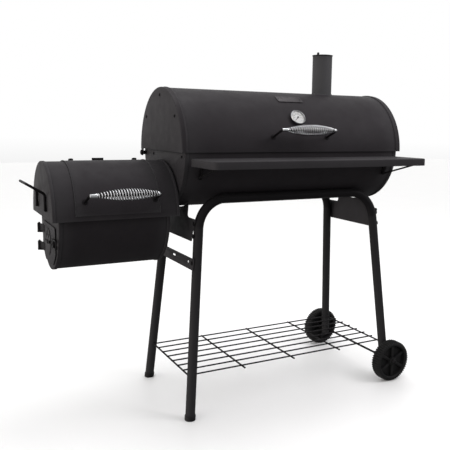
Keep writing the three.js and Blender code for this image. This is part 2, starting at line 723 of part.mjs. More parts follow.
// The envelope of the coil spring: a hollow lens with the rod through it.
function grip({ rod }) {
  const bore = handleRodRadius + gripClearance;
  const steps = 8;
  const outside = [];
  const inside = [];
  for (let i = 0; i <= steps; i++) {
    const along = 2 * i / steps - 1;
    const radius = THREE.MathUtils.lerp(gripEndRadius, gripMiddleRadius, 1 - along ** 2);
    outside.push([radius, along * gripHalfLength]);
    inside.push([Math.max(bore, radius - gripWall), along * gripHalfLength]);
  }
  const profile = [...outside, ...inside.reverse(), outside[0]];
  const middle = rod[0].clone().add(rod[1]).multiplyScalar(0.5);
  return aim(turned(profile, 14), middle, point(1, 0, 0));
}
add('lid_handle_rod', handleRod(lidHandle), darkPaint);
add('lid_handle_grip', grip(lidHandle), chrome);

// ---- Firebox trough ----
const trough = { halfWidth: troughHalfWidth, height: troughDepth, side: -1, rim: hoodRim };
const doorX = troughLeft - sheet - 2 * gap;    // the door's outer face is a sheet further out
const ledgeHalf = hoodHalfWidth - 2 * sheet - 3 * gap;

// The trough's walls end in ledges that turn outward above its ends' flanges, inside the hood.
function troughShell() {
  const wall = shell({ ...trough, lap: gap + sheet, left: troughLeft, right: troughRight });
  const ledges = [-1, 1].map((side) => box(troughLeft + sheet + gap, troughRight - sheet - gap,
    side * (troughHalfWidth - 2 * sheet - gap), side * ledgeHalf, hoodRim + gap, hoodRim + gap + sheet));
  return join(wall, ...ledges);
}
add('firebox_body', troughShell(), paint);

// The door's outline: the trough's own outline drawn in, with a straight top, bottom and sides.
function doorOutline(inset) {
  const oval = new THREE.Shape(ovalPoints(troughHalfWidth - doorInset - inset,
    troughDepth - doorInset - inset, -1, hoodRim));
  const half = doorHalfWidth - inset;
  const [back, front] = [doorX - 40, doorX + 40];
  return common(alongX(oval, back, front), box(back, front, -half, half, doorBottom + inset, doorTop - inset));
}

add('firebox_left_end', cut(endCap({ ...trough, outerX: troughLeft, facing: -1, flange: troughFlange }),
  doorOutline(doorOverlap)), paint);
add('firebox_right_end', endCap({ ...trough, outerX: troughRight, facing: 1, flange: troughFlange }), paint);

// ---- Firebox hood ----
const hood = { halfWidth: hoodHalfWidth, height: hoodRise, side: 1, rim: hoodRim };
const hoodSkin = hoodHalfWidth - sheet - gap;
const hoodSkinRise = hoodRise - sheet - gap;
const lidSkinWidth = hoodSkin + gap + sheet;    // the firebox lid lies on the hood's shell
const lidSkinRise = hoodSkinRise + gap + sheet;
const fireHandle = handlePlaces(
  lidSkinWidth, lidSkinRise, hoodRim, fireLidMiddle + fireHandleShift, fireHandleAngle);
const fireLidTop = (y) => hoodRim + lidSkinRise * Math.sqrt(1 - (y / lidSkinWidth) ** 2);
const fireHingeZ = fireLidTop(fireHingeY) + fireHingeRadius + 1;

// The hood's opening, under the lid and short of its edges.
const openLeft = fireLidLeft + fireLidOverlap;
const openRight = fireLidRight - fireLidOverlap;
const opening = box(openLeft, openRight, -hoodHalfWidth - 10, fireHingeY - 22,
  hoodRim + fireLidEdge + fireLidOverlap, hoodRim + hoodRise + 20);
const hingeFeet = [fireLidLeft + fireHingeLeftInset, fireLidRight - fireHingeRightInset];

add('hood_shell', cut(shell({ ...hood, left: hoodLeft, right: hoodRight }), opening), paint);
add('hood_left_end', endCap({ ...hood, outerX: hoodLeft, facing: -1, flange: hoodFlange }), paint);
add('hood_right_end', cut(endCap({ ...hood, outerX: hoodRight, facing: 1, flange: hoodFlange }),
  holeAlongX(hoodRight, 0, passageHeight, passage, 28)), paint);

// The collar between the firebox and the barrel, with a ring that keeps the two ends apart.
function collar() {
  const outer = passageRadius + sheet;
  const ring = outer + collarRing;
  const [left, right] = [hoodRight + gap, -barrelEnd - gap];
  return aim(turned([[passageRadius, left - collarLip], [outer, left - collarLip], [outer, left], [ring, left],
    [ring, right], [outer, right], [outer, right + collarLip], [passageRadius, right + collarLip],
    [passageRadius, left - collarLip]], 24), point(0, 0, passageHeight), point(1, 0, 0));
}
add('passage_collar', collar(), paint);

// ---- Firebox lid ----
// A curved sheet over the hood's opening, with two hinge eyes along its rear edge.
function fireLid() {
  const ring = alongX(wallOutline(lidSkinWidth, lidSkinRise, 1, hoodRim, 0), fireLidLeft, fireLidRight);
  const rearEdge = fireHingeY - fireHingeRadius - 2;
  const neckY = rearEdge - 3;
  const neckZ = fireLidTop(neckY) - sheet / 2;
  const kept = box(fireLidLeft - 1, fireLidRight + 1, -hoodHalfWidth - 20, rearEdge,
    hoodRim + fireLidEdge, hoodRim + hoodRise + 20);
  const eyes = hingeFeet.map((x) => join(
    bar(point(x - fireHingeHalf, fireHingeY, fireHingeZ), point(x + fireHingeHalf, fireHingeY, fireHingeZ),
      fireHingeRadius, 12),
    box(x - fireHingeHalf, x + fireHingeHalf, neckY, fireHingeY - 3, neckZ, neckZ + 2.4)));
  const bores = hingeFeet.map((x) => bar(point(x - 20, fireHingeY, fireHingeZ),
    point(x + 20, fireHingeY, fireHingeZ), fireHingePin + gap, 8));
  return cut(join(common(ring, kept), ...eyes), ...bores, ...armHoles(fireHandle));
}
add('firebox_lid', fireLid(), paint);

// A line just over the hood's shell, level with it at the given y.
function overHood(middle) {
  const drop = Math.sqrt(1 - (middle / hoodSkin) ** 2);
  const slope = -hoodSkinRise * middle / (hoodSkin ** 2 * drop);
  return (y) => hoodRim + hoodSkinRise * drop + gap + slope * (y - middle);
}

// The hinges' fixed halves: a foot behind each eye, a cheek at each end of it and the pin between.
function fireHinge(x) {
  const floor = overHood(fireHingeY + 10);
  const reach = fireHingeHalf + gap + fireHingeCheek;
  const backY = fireHingeY + 24;
  const frontY = fireHingeY - 4;
  const side = new THREE.Shape([[frontY, floor(frontY)], [backY, floor(backY)], [backY, floor(backY) + 3],
    [fireHingeY + 5, fireHingeZ + 4], [frontY, fireHingeZ + 4]].map(([y, z]) => new THREE.Vector2(y, z)));
  const pad = new THREE.Shape([[backY - 12, floor(backY - 12)], [backY, floor(backY)],
    [backY, floor(backY) + 2], [backY - 12, floor(backY - 12) + 2]].map(([y, z]) => new THREE.Vector2(y, z)));
  return join(
    alongX(side, x - reach, x - reach + fireHingeCheek), alongX(side, x + reach - fireHingeCheek, x + reach),
    alongX(pad, x - reach, x + reach),
    bar(point(x - reach + 1, fireHingeY, fireHingeZ), point(x + reach - 1, fireHingeY, fireHingeZ),
      fireHingePin, 8));
}
add('firebox_hinge_left', fireHinge(hingeFeet[0]), darkPaint);
add('firebox_hinge_right', fireHinge(hingeFeet[1]), darkPaint);

// A bent tab on the hood that the open lid leans on.
function lidStop() {
  const [front, back] = [fireHingeY - 1, fireHingeY + 22];
  const floor = overHood(fireHingeY + 10);
  const top = fireHingeZ + 6;
  const outline = new THREE.Shape([[front, floor(front)], [back, floor(back)], [back, floor(back) + 2],
    [front + 2, floor(front + 2) + 2], [front + 2, top], [front, top]]
    .map(([y, z]) => new THREE.Vector2(y, z)));
  const middle = fireLidMiddle - lidStopShift;
  return alongX(outline, middle - lidStopHalf, middle + lidStopHalf);
}
add('firebox_lid_stop', lidStop(), paint);
add('firebox_handle_rod', handleRod(fireHandle), darkPaint);
add('firebox_handle_grip', grip(fireHandle), chrome);

// ---- Ash door ----
const doorOuter = doorX - sheet;
const doorHingeX = doorOuter - doorHingeOut + sheet;
const pinBase = 4;              // the fixed arm under each knuckle

function ventSlotsThrough() {
  return Array.from({ length: ventSlots }, (_, i) => {
    const turn = (i - (ventSlots - 1) / 2) * Math.PI / 4;
    const slot = box(-20, 20, -ventSlotWidth / 2, ventSlotWidth / 2,
      ventRadius - ventSlotLength / 2, ventRadius + ventSlotLength / 2);
    return slot.rotateX(turn).translate(doorOuter, ventY, ventHeight);
  });
}

function ashDoor() {
  const slab = common(doorOutline(0), box(doorOuter, doorX, -200, 200, 0, 1000));
  const knuckles = doorHingeHeights.map((middle) => join(
    bar(point(doorHingeX, doorHingeY, middle - doorHingeLength / 2 + pinBase),
      point(doorHingeX, doorHingeY, middle + doorHingeLength / 2), knuckleRadius, 12),
    alongZ(new THREE.Shape([[doorOuter - 0.8, 60], [doorX - 0.2, 60], [doorX - 0.2, 84],
      [doorHingeX + 4, doorHingeY - 1], [doorHingeX, doorHingeY - 4]].map(([x, y]) => new THREE.Vector2(x, y))),
    middle - doorHingeLength / 2 + pinBase, middle + doorHingeLength / 2)));
  const bores = doorHingeHeights.map((middle) => bar(point(doorHingeX, doorHingeY, middle - 30),
    point(doorHingeX, doorHingeY, middle + 30), doorPinRadius + gap, 8));
  const pivots = [[ventY, ventHeight], [latchY, latchHeight]].map(([y, z]) => holeAlongX(doorOuter, y, z, 3 + gap));
  return cut(join(slab, ...knuckles), ...bores, ...pivots, ...ventSlotsThrough());
}
add('ash_door', ashDoor(), paint);

// Each hinge's fixed half: a strap on the trough's end that carries an upright pin.
for (const [place, middle] of [['lower', doorHingeHeights[0]], ['upper', doorHingeHeights[1]]]) {
  const low = middle - doorHingeLength / 2;
  const rootY = widthAt(troughHalfWidth, troughDepth, hoodRim, low) - 22;
  const face = troughLeft - gap;
  const strapTop = low + pinBase - gap;
  add(`door_hinge_${place}`, join(
    alongZ(new THREE.Shape([[face, rootY], [face, doorHingeY + 4], [doorHingeX + 2, doorHingeY + 5.5],
      [doorHingeX - 5.5, doorHingeY + 3], [doorHingeX - 5.5, doorHingeY - 3], [doorHingeX + 1, doorHingeY - 6],
      [face - 1.2, doorHingeY - 12], [face - 1.2, rootY]].map(([x, y]) => new THREE.Vector2(x, y)).reverse()),
    low - 4, strapTop),
    bar(point(doorHingeX, doorHingeY, low), point(doorHingeX, doorHingeY, middle + doorHingeLength / 2 + 3),
      doorPinRadius, 8)), darkPaint);
}

// The shutter: a slotted disc with a finger tab, on a rivet.
const shutterBack = doorOuter - gap;
function shutter() {
  const disc = bar(point(shutterBack - sheet, 0, 0), point(shutterBack, 0, 0), shutterRadius, 28);
  const tab = box(shutterBack - sheet, shutterBack, -4.5, 4.5, 0, shutterRadius + 9);
  const knob = box(shutterBack - 8, shutterBack - sheet / 2, -4.5, 4.5, shutterRadius + 1, shutterRadius + 9);
  const turn = THREE.MathUtils.degToRad(84);
  const handle = join(tab, knob).rotateX(turn);
  const plate = join(disc, handle).translate(0, ventY, ventHeight);
  return cut(plate, holeAlongX(doorOuter, ventY, ventHeight, 3 + gap), ...ventSlotsThrough());
}
add('air_shutter', shutter(), darkPaint);

function rivetAlongX(outer, inner) {
  return turned([[0, inner], [6, inner], [6, inner + 2], [3, inner + 2], [3, outer], [7, outer], [6, outer + 2.5],
    [0, outer + 2.5]], 12);
}
add('shutter_rivet', aim(rivetAlongX(-shutterBack + sheet + gap, -doorX - gap - 2),
  point(0, ventY, ventHeight), point(-1, 0, 0)), darkPaint);

// The latch: a wire loop on a boss that turns on its own pin in the door.
function latch() {
  const [back, front] = [doorOuter - gap, doorOuter - gap - 6];
  const boss = bar(point(front, latchY, latchHeight), point(back, latchY, latchHeight), latchHalfHeight + 3, 14);
  const mid = (back + front) / 2;
  const loop = bentRod([
    point(mid, latchY, latchHeight + latchHalfHeight), point(mid, latchY - latchReach, latchHeight + latchHalfHeight),
    point(mid, latchY - latchReach, latchHeight - latchHalfHeight), point(mid, latchY, latchHeight - latchHalfHeight),
  ], 2.6, 8, { sides: 8, steps: 4 });
  const pivot = aim(turned([[0, -doorX - gap - 2], [6, -doorX - gap - 2], [6, -doorX - gap], [3, -doorX - gap],
    [3, -front - 1], [0, -front - 1]], 12), point(0, latchY, latchHeight), point(-1, 0, 0));
  return join(boss, loop, pivot);
}
add('door_latch', latch(), darkPaint);

// ---- Lift handle ----
function liftHandle() {
  const x = hoodLeft - gap - liftRadius;
  const bend = hoodRim + liftBend;
  const corners = [
    point(x, liftFrontY, hoodRim + liftFoot), point(x, liftFrontY, bend),
    point(x - liftOut, liftFrontY, bend + liftRise), point(x - liftOut, liftBackY, bend + liftRise),
    point(x, liftBackY, bend), point(x, liftBackY, hoodRim + liftFoot),
  ];
  return bentRod(corners, liftRadius, 14, { sides: 8, steps: 4 });
}
add('lift_handle', liftHandle(), darkPaint);

// ---- Front shelf, its brackets and wire braces ----
function shelf() {
  const outline = (inset) => {
    const [half, front, corner] = [shelfHalfLength - inset, shelfFront + inset, shelfCorner - inset];
    const shape = new THREE.Shape();
    shape.moveTo(half, shelfBack - inset);
    shape.lineTo(-half, shelfBack - inset);
    shape.absarc(-half + corner, front + corner, corner, Math.PI, 1.5 * Math.PI);
    shape.absarc(half - corner, front + corner, corner, 1.5 * Math.PI, 2 * Math.PI);
    return shape;
  };
  return cut(alongZ(outline(0), shelfHeight - shelfLip, shelfHeight),
    alongZ(outline(sheet), shelfHeight - shelfLip - 5, shelfHeight - sheet));
}
add('front_shelf', shelf(), paint);

function shelfBracket(end) {
  const outline = new THREE.Shape();
  const outerY = shelfBack + gap;
  const top = shelfHeight - 3;
  outline.moveTo(outerY, top);
  outline.lineTo(outerY, shelfHeight - 1.6 * shelfLip);
  outline.lineTo(braceHoleY - 9, braceHoleZ - 4);
  const wall = ovalPoints(bodyHalfWidth + gap, bodyDepth + gap, -1, rimHeight);
  const contact = wall.filter((place) => place.x < 0 && place.y > shelfHeight - bracketHeight && place.y < top);
  for (const place of contact.reverse()) outline.lineTo(place.x, place.y);
  outline.closePath();
  const x = end * bracketX;
  return cut(alongX(outline, x, x + end * bracketThickness),
    bar(point(x - 20, braceHoleY, braceHoleZ), point(x + 20, braceHoleY, braceHoleZ), braceRadius + gap, 10));
}

function brace(end) {
  const x = end * (bracketX + bracketThickness + braceRadius + 3);
  const under = shelfHeight - sheet - gap;
  const farY = shelfFront + braceFarInset;
  const corners = [
    point(end * (bracketX - 6), braceHoleY, braceHoleZ), point(x, braceHoleY, braceHoleZ),
    point(x, farY, under - 20), point(x, farY, under),
  ];
  return bentRod(corners, braceRadius, 5, { sides: 8, steps: 3 });
}
for (const [side, end] of [['left', -1], ['right', 1]]) {
  add(`shelf_bracket_${side}`, shelfBracket(end), darkPaint);
  add(`shelf_brace_${side}`, brace(end), bareWire);
}

// ---- Grates ----
// A plate of bars that run along Y between two side rails.
function grate(x0, x1, halfWidth, z, thickness, pitch) {
  const rail = 9;
  const halfBar = 3;
  const count = Math.floor((x1 - x0 - rail) / pitch);
  const start = (x0 + x1 - count * pitch) / 2;
  const slots = Array.from({ length: count }, (_, i) => box(
    start + i * pitch + halfBar, start + (i + 1) * pitch - halfBar, rail - halfWidth, halfWidth - rail,
    z - 5, z + thickness + 5));
  return cut(box(x0, x1, -halfWidth, halfWidth, z, z + thickness), ...slots);
}
const insideEnd = barrelEnd - sheet - gap - hingeNut - 1;
const cookHalf = widthAt(bodyInner, bodyInnerDepth, rimHeight, cookHeight) - 4;
add('cooking_grate_left', grate(-insideEnd, -2, cookHalf, cookHeight, cookThickness, 26), bareWire);
add('cooking_grate_right', grate(2, insideEnd, cookHalf, cookHeight, cookThickness, 26), bareWire);
for (const [side, row] of [['front', -1], ['rear', 1]]) {
  const low = cookHeight - gap - ledgeThickness;
  const outer = widthAt(bodyInner, bodyInnerDepth, rimHeight, low) - ledgeClearance;
  add(`grate_ledge_${side}`, box(-insideEnd, insideEnd, row * outer, row * (outer - ledgeWidth),
    low, low + ledgeThickness), paint);
}
add('charcoal_grate', grate(-insideEnd, insideEnd,
  widthAt(bodyInner, bodyInnerDepth, rimHeight, coalHeight) - grateClearance, coalHeight, grateThickness, 40),
  bareWire);
add('firebox_grate', grate(troughLeft + sheet + 4, troughRight - sheet - 4,
  widthAt(troughHalfWidth - 2 * sheet - gap, troughDepth - 2 * sheet - gap, hoodRim, fireGrateHeight)
    - grateClearance,
  fireGrateHeight, grateThickness, 40), bareWire);

// The origin is the middle of the footprint, on the floor.
const extent = new THREE.Box3().setFromObject(grill);
const centre = extent.getCenter(new THREE.Vector3());
grill.position.set(-centre.x, -centre.y, -extent.min.z);

export default grill;
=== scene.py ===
import math

import bmesh
import bpy
from mathutils import Matrix, Vector
from mathutils.geometry import delaunay_2d_cdt


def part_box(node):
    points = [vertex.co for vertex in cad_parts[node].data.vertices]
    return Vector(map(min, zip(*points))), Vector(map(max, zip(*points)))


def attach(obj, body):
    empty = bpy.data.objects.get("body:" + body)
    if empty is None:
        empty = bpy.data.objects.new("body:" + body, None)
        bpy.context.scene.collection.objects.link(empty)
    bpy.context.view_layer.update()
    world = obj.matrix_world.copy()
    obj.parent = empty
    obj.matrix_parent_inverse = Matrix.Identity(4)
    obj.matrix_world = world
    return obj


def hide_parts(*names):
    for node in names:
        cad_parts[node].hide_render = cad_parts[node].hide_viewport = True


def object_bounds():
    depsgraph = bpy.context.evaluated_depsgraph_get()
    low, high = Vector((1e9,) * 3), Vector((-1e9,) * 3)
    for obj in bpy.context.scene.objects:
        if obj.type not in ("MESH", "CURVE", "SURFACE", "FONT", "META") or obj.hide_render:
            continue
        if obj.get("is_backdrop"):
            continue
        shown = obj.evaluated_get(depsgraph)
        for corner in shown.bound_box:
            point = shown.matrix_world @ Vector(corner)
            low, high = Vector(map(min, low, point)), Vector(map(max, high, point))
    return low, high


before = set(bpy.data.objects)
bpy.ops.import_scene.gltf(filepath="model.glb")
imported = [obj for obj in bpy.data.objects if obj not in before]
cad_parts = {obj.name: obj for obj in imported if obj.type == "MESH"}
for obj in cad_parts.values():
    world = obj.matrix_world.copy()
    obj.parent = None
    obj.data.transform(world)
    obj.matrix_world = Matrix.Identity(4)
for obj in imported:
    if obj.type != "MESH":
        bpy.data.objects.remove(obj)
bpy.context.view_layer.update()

MM = 0.001
INSIDE_ONLY = 1                 # the triangulation's output type
SHARP = 38                      # edges sharper than this many degrees stay crisp

# Sizes in millimetres and angles in degrees.
SHEET = 1.6
GAP = 0.4
CAP_WALL = 1.4                  # pressed end plates
CAP_EDGE = 0.4
SKIN_WALL = 1.5                 # rolled skins
SKIN_EDGE = 0.5
SCREW_RADIUS, SCREW_HEIGHT = 3.6, 2.2
HINGE_HOLE = 4.4
PIVOT_HOLE = 3.4
LEG_RADIUS = 15.9
LEG_BEND = 104
HANDLE_TILT = 22.4
HANDLE_SPAN = 108
HANDLE_REACH = 62
GRIP_HALF = 93
SPRING_SHIFT = 5                # the spring sits towards the right arm
SPRING_WIRE = 1.6
SPRING_TURNS = 22
GRIP_END = 7
GRIP_MIDDLE = 18.5
ROD_RADIUS = 4
LID_HANDLE_ANGLE = 14
FIRE_HANDLE_ANGLE = 19.2
DIAL_ANGLE = 33
PLATE_ANGLE = 59.3

barrel_low, barrel_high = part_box("barrel_body")
ORIGIN = Vector(((barrel_low.x + barrel_high.x) / 2, (barrel_low.y + barrel_high.y) / 2, 0))


def span(node):
    """A node's lowest and highest corners in millimetres."""
    low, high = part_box(node)
    return (low - ORIGIN) / MM, (high - ORIGIN) / MM


def middle(node):
    low, high = span(node)
    return (low + high) / 2


# ---- Materials ----
def new_node(tree, kind, inputs, **settings):
    """A shader node; an input is linked where its value is another node's output, and set otherwise."""
    node = tree.nodes.new("ShaderNode" + kind)
    for name, value in settings.items():
        setattr(node, name, value)
    for name, value in inputs.items():
        if isinstance(value, bpy.types.NodeSocket):
            tree.links.new(value, node.inputs[name])
        else:
            node.inputs[name].default_value = value
    return node


def noise(tree, vector, scale, detail=3.0, roughness=0.55, stretch=None):
    if stretch:
        vector = new_node(tree, "Mapping", {"Scale": stretch, "Vector": vector}).outputs["Vector"]
    return new_node(tree, "TexNoise", {"Vector": vector, "Scale": scale, "Detail": detail,
                                       "Roughness": roughness}).outputs["Fac"]


def ramp(tree, value, dark, light, low=0.3, high=0.7):
    node = new_node(tree, "ValToRGB", {"Fac": value})
    for element, place, colour in zip(node.color_ramp.elements, (low, high), (dark, light)):
        element.position = place
        element.color = (*colour, 1)
    return node.outputs["Color"]


def span_value(tree, value, low, high, from_low=0.3, from_high=0.7):
    return new_node(tree, "MapRange", {"Value": value, "From Min": from_low, "From Max": from_high,
                                       "To Min": low, "To Max": high}).outputs["Result"]


def mix_colour(tree, factor, first, second, blend="MIX"):
    return new_node(tree, "Mix", {"Factor": factor, "A": first, "B": second}, data_type="RGBA",
                    blend_type=blend).outputs["Result"]


def surface(name, tone, dark, light, polish, rough, layers=(), values=(), wear=None):
    """A material. tone and polish are noises for its colour and roughness, as (scale, detail, roughness,
    stretch). layers are bumps, as (noise, strength, distance in metres). wear is paint's rubbed colour."""
    material = bpy.data.materials.new(name)
    material.use_nodes = True
    tree = material.node_tree
    inputs = tree.nodes["Principled BSDF"].inputs
    place = tree.nodes.new("ShaderNodeTexCoord").outputs["Object"]
    if tone:
        colour = ramp(tree, noise(tree, place, *tone), dark, light)
        if wear:
            fleck = ramp(tree, noise(tree, place, 700, 2, 0.5), (0.86, 0.86, 0.86), (1, 1, 1), 0.42, 0.62)
            colour = mix_colour(tree, 1.0, colour, fleck, "MULTIPLY")
            edges = tree.nodes.new("ShaderNodeNewGeometry").outputs["Pointiness"]
            colour = mix_colour(tree, span_value(tree, edges, 0.0, 1.0, 0.505, 0.60), colour, (*wear, 1))
        tree.links.new(colour, inputs["Base Color"])
    tree.links.new(span_value(tree, noise(tree, place, *polish), *rough), inputs["Roughness"])
    last = {}
    for texture, strength, distance in layers:
        height = noise(tree, place, *texture)
        last = {"Normal": new_node(tree, "Bump", {"Strength": strength, "Distance": distance,
                                                  "Height": height, **last}).outputs["Normal"]}
    if last:
        tree.links.new(last["Normal"], inputs["Normal"])
    for key, value in values:
        inputs[key].default_value = value
    return material


def painted(name, dark, light, rough, specular, peel=0.25, wear=(0.05, 0.05, 0.052)):
    """Satin high-heat paint: fine orange peel, soft mottling and slightly rubbed edges."""
    return surface(name, (9, 5, 0.6), dark, light, (26, 4, 0.6), (rough - 0.05, rough + 0.07),
                   [((420, 2, 0.5), peel, 0.00025), ((1500, 2, 0.5), peel, 0.0001),
                    ((7, 2, 0.5), 0.12, 0.002)],
                   [("Specular IOR Level", specular), ("Specular Tint", (1.0, 0.94, 1.0, 1))], wear)


def metal(name, dark, light, rough, scale, stretch, strength):
    """Bright metal with fine scratches and slightly uneven polish."""
    return surface(name, (scale, 4, 0.6, stretch), dark, light, (140, 4, 0.65), (rough * 0.7, rough * 1.5),
                   [((900, 3, 0.6, stretch), strength, 0.00008)], [("Metallic", 1.0)])


PAINT = painted("satin_black_paint", (0.0180, 0.0160, 0.0178), (0.0235, 0.0212, 0.0233), 0.56, 0.09)
# The legs' paint is the body's black paint made darker, with less specular: painted shade on the legs.
SHADED_LEG_PAINT = painted("leg_paint_darkened_as_painted_shade", (0.0070, 0.0063, 0.0069), (0.0100, 0.0091, 0.0099), 0.46, 0.05,
                    0.14)
HARDWARE = painted("black_oxide_hardware", (0.0034, 0.0032, 0.0035), (0.0062, 0.0058, 0.0063), 0.46, 0.05,
                   0.2, (0.012, 0.0112, 0.012))
WIRE = painted("black_coated_wire", (0.0036, 0.0033, 0.0036), (0.0064, 0.0059, 0.0064), 0.44, 0.05, 0.12,
               (0.02, 0.019, 0.02))
IRON = painted("porcelain_grate", (0.0120, 0.0112, 0.0105), (0.0240, 0.0220, 0.0210), 0.30, 0.5, 0.5,
               (0.07, 0.065, 0.06))
CHROME = metal("bright_chrome", (0.40, 0.405, 0.415), (0.56, 0.565, 0.58), 0.15, 220, (1, 1, 1), 0.12)
PLATE_METAL = metal("pewter_plate", (0.040, 0.037, 0.039), (0.065, 0.060, 0.063), 0.46, 70, (0.2, 1, 1), 0.3)
PLASTIC = surface("black_moulded_plastic", (18, 4, 0.6), (0.0040, 0.0039, 0.0042), (0.0070, 0.0068, 0.0072),
                  (60, 3, 0.5), (0.54, 0.68), [((1100, 2, 0.5), 0.35, 0.00012), ((40, 2, 0.5), 0.1, 0.0006)],
                  [("Specular IOR Level", 0.2)])
DIAL = surface("printed_dial", (500, 2), (0.56, 0.56, 0.555), (0.63, 0.63, 0.622), (120, 2), (0.4, 0.55),
               [((1400, 2), 0.1, 0.00005)])
INK = surface("printed_ink", (800, 2), (0.02, 0.02, 0.022), (0.035, 0.035, 0.037), (200, 2), (0.45, 0.6))
GLASS = surface("dial_glass", None, None, None, (90, 3), (0.0, 0.04), (),
                [("Base Color", (1, 1, 1, 1)), ("Transmission Weight", 1.0), ("IOR", 1.15)])


# ---- Geometry helpers ----
def lerp(a, b, t):
    return a + (b - a) * t


def grid(rows, wrap=False, keep=None):
    """Quads between rows of points; wrap joins each row's end to its start."""
    width = len(rows[0])
    verts = [Vector(point) for row in rows for point in row]
    faces = []
    for i in range(len(rows) - 1):
        for j in range(width if wrap else width - 1):
            if keep is None or keep(i, j):
                k = (j + 1) % width
                faces.append((i * width + j, i * width + k, (i + 1) * width + k, (i + 1) * width + j))
    return verts, faces


def closed(rows):
    """Quads joined round each row, with the first and last rows filled."""
    verts, faces = grid(rows, wrap=True)
    size = len(rows[0])
    return verts, faces + [tuple(range(size)), tuple(range(len(verts) - size, len(verts)))]


def around(count):
    """Angles round a full circle."""
    return [2 * math.pi * i / count for i in range(count)]


def merge(parts):
    verts, faces = [], []
    for part_verts, part_faces in parts:
        start = len(verts)
        verts += [Vector(v) for v in part_verts]
        faces += [tuple(start + i for i in face) for face in part_faces]
    return verts, faces


def enclosed(loops, x, y):
    """True where a point is within the first loop and within none of its holes."""
    odd = False
    for loop in loops:
        for (ax, ay), (bx, by) in zip(loop, loop[1:] + loop[:1]):
            if (ay > y) != (by > y) and x < ax + (y - ay) * (bx - ax) / (by - ay):
                odd = not odd
    return odd


def sheet_of(loops, place):
    """A flat face with holes: loops of (u, v), the first one outside; place maps (u, v) to a point."""
    points, edges = [], []
    for loop in loops:
        start, count = len(points), len(loop)
        points += [Vector(p) for p in loop]
        edges += [(start + i, start + (i + 1) % count) for i in range(count)]
    flat, _, triangles, *_ = delaunay_2d_cdt(points, edges, [], INSIDE_ONLY, 1e-4)
    kept = []
    for triangle in triangles:
        middle = sum((flat[i] for i in triangle), Vector((0, 0))) / 3
        if enclosed(loops, middle.x, middle.y):
            kept.append(tuple(triangle))
    return [Vector(place(p.x, p.y)) for p in flat], kept


def circle(u, v, radius, steps=48):
    return [(u + radius * math.cos(t), v + radius * math.sin(t)) for t in around(steps)]


def arc(corner, before, after, radius, steps):
    """The points that round a corner off between the corners before and after it."""
    back, ahead = (before - corner).normalized(), (after - corner).normalized()
    opening = back.angle(ahead)
    reach = radius / math.tan(opening / 2)
    centre = corner + (back + ahead).normalized() * radius / math.sin(opening / 2)
    first, last = corner + back * reach - centre, corner + ahead * reach - centre
    turn = math.pi - opening
    return [(first * math.sin(turn - turn * k / steps) + last * math.sin(turn * k / steps)) / math.sin(turn)
            + centre for k in range(steps + 1)]


def fillet(corners, steps=6):
    """A closed outline from (u, v, corner radius)."""
    outline = []
    for i, (u, v, radius) in enumerate(corners):
        if radius > 0:
            before, after = (Vector(corners[k % len(corners)][:2]) for k in (i - 1, i + 1))
            outline += [tuple(p) for p in arc(Vector((u, v)), before, after, radius, steps)]
        else:
            outline.append((u, v))
    return outline


def round_box(low_u, low_v, high_u, high_v, radius, steps=6):
    return fillet([(low_u, low_v, radius), (high_u, low_v, radius), (high_u, high_v, radius),
                   (low_u, high_v, radius)], steps)


def oval(a, b, side, rim, lap=0.0, steps=96):
    """Half an oval in (y, z) from front to back; lap carries its ends straight on past the rim."""
    points = [(-a * math.cos(math.pi * i / steps), rim + side * b * math.sin(math.pi * i / steps))
              for i in range(steps + 1)]
    if lap:
        points = [(-a, rim - side * lap)] + points + [(a, rim - side * lap)]
    return points


def pressed(outline, place, flange, corner, extra=(), holes=(), bead=0.0):
    """A plate rolled over into a flange along an open outline. place maps (u, v, depth) to a point."""
    points = [Vector(p) for p in outline]
    whole = points + [Vector(p) for p in extra]
    area = sum(whole[i - 1].x * whole[i].y - whole[i].x * whole[i - 1].y for i in range(len(whole)))
    turn = 1 if area > 0 else -1
    last = len(points) - 1
    outward = []
    for i in range(len(points)):
        along = (points[min(i + 1, last)] - points[max(i - 1, 0)]).normalized()
        outward.append(Vector((along.y, -along.x)) * turn)
    rings = []
    for step in range(5):
        angle = math.pi / 2 * step / 4
        rings.append((corner * (1 - math.sin(angle)), corner * (1 - math.cos(angle))))
    if bead:
        rings += [(0, flange - 8), (-bead, flange - 6.5), (-bead, flange - 4), (0, flange - 2.5)]
    rings.append((0, flange))
    rows = []
    for inset, depth in rings:
        rows.append([place(*(p - n * inset), depth) for p, n in zip(points, outward)])
    face = [tuple(p - n * corner) for p, n in zip(points, outward)] + list(extra)
    return [grid(rows), sheet_of([face, *holes], lambda u, v: place(u, v, 0))]


def lathe(profile, at, axis, sides=48):
    """A solid of revolution from (radius, height) pairs along an axis."""
    up = Vector(axis).normalized()
    across = Vector((1, 0, 0)) if abs(up.x) < 0.9 else Vector((0, 1, 0))
    across = (across - up * across.dot(up)).normalized()
    other = up.cross(across)
    at = Vector(at)
    rows = []
    for radius, height in profile:
        rows.append([at + up * height + (across * math.cos(t) + other * math.sin(t)) * radius
                     for t in around(sides)])
    return grid(rows, wrap=True)


def ring(profile, at, axis, sides=48):
    """A turned ring, whose profile closes on itself."""
    return lathe([*profile, profile[0]], at, axis, sides)


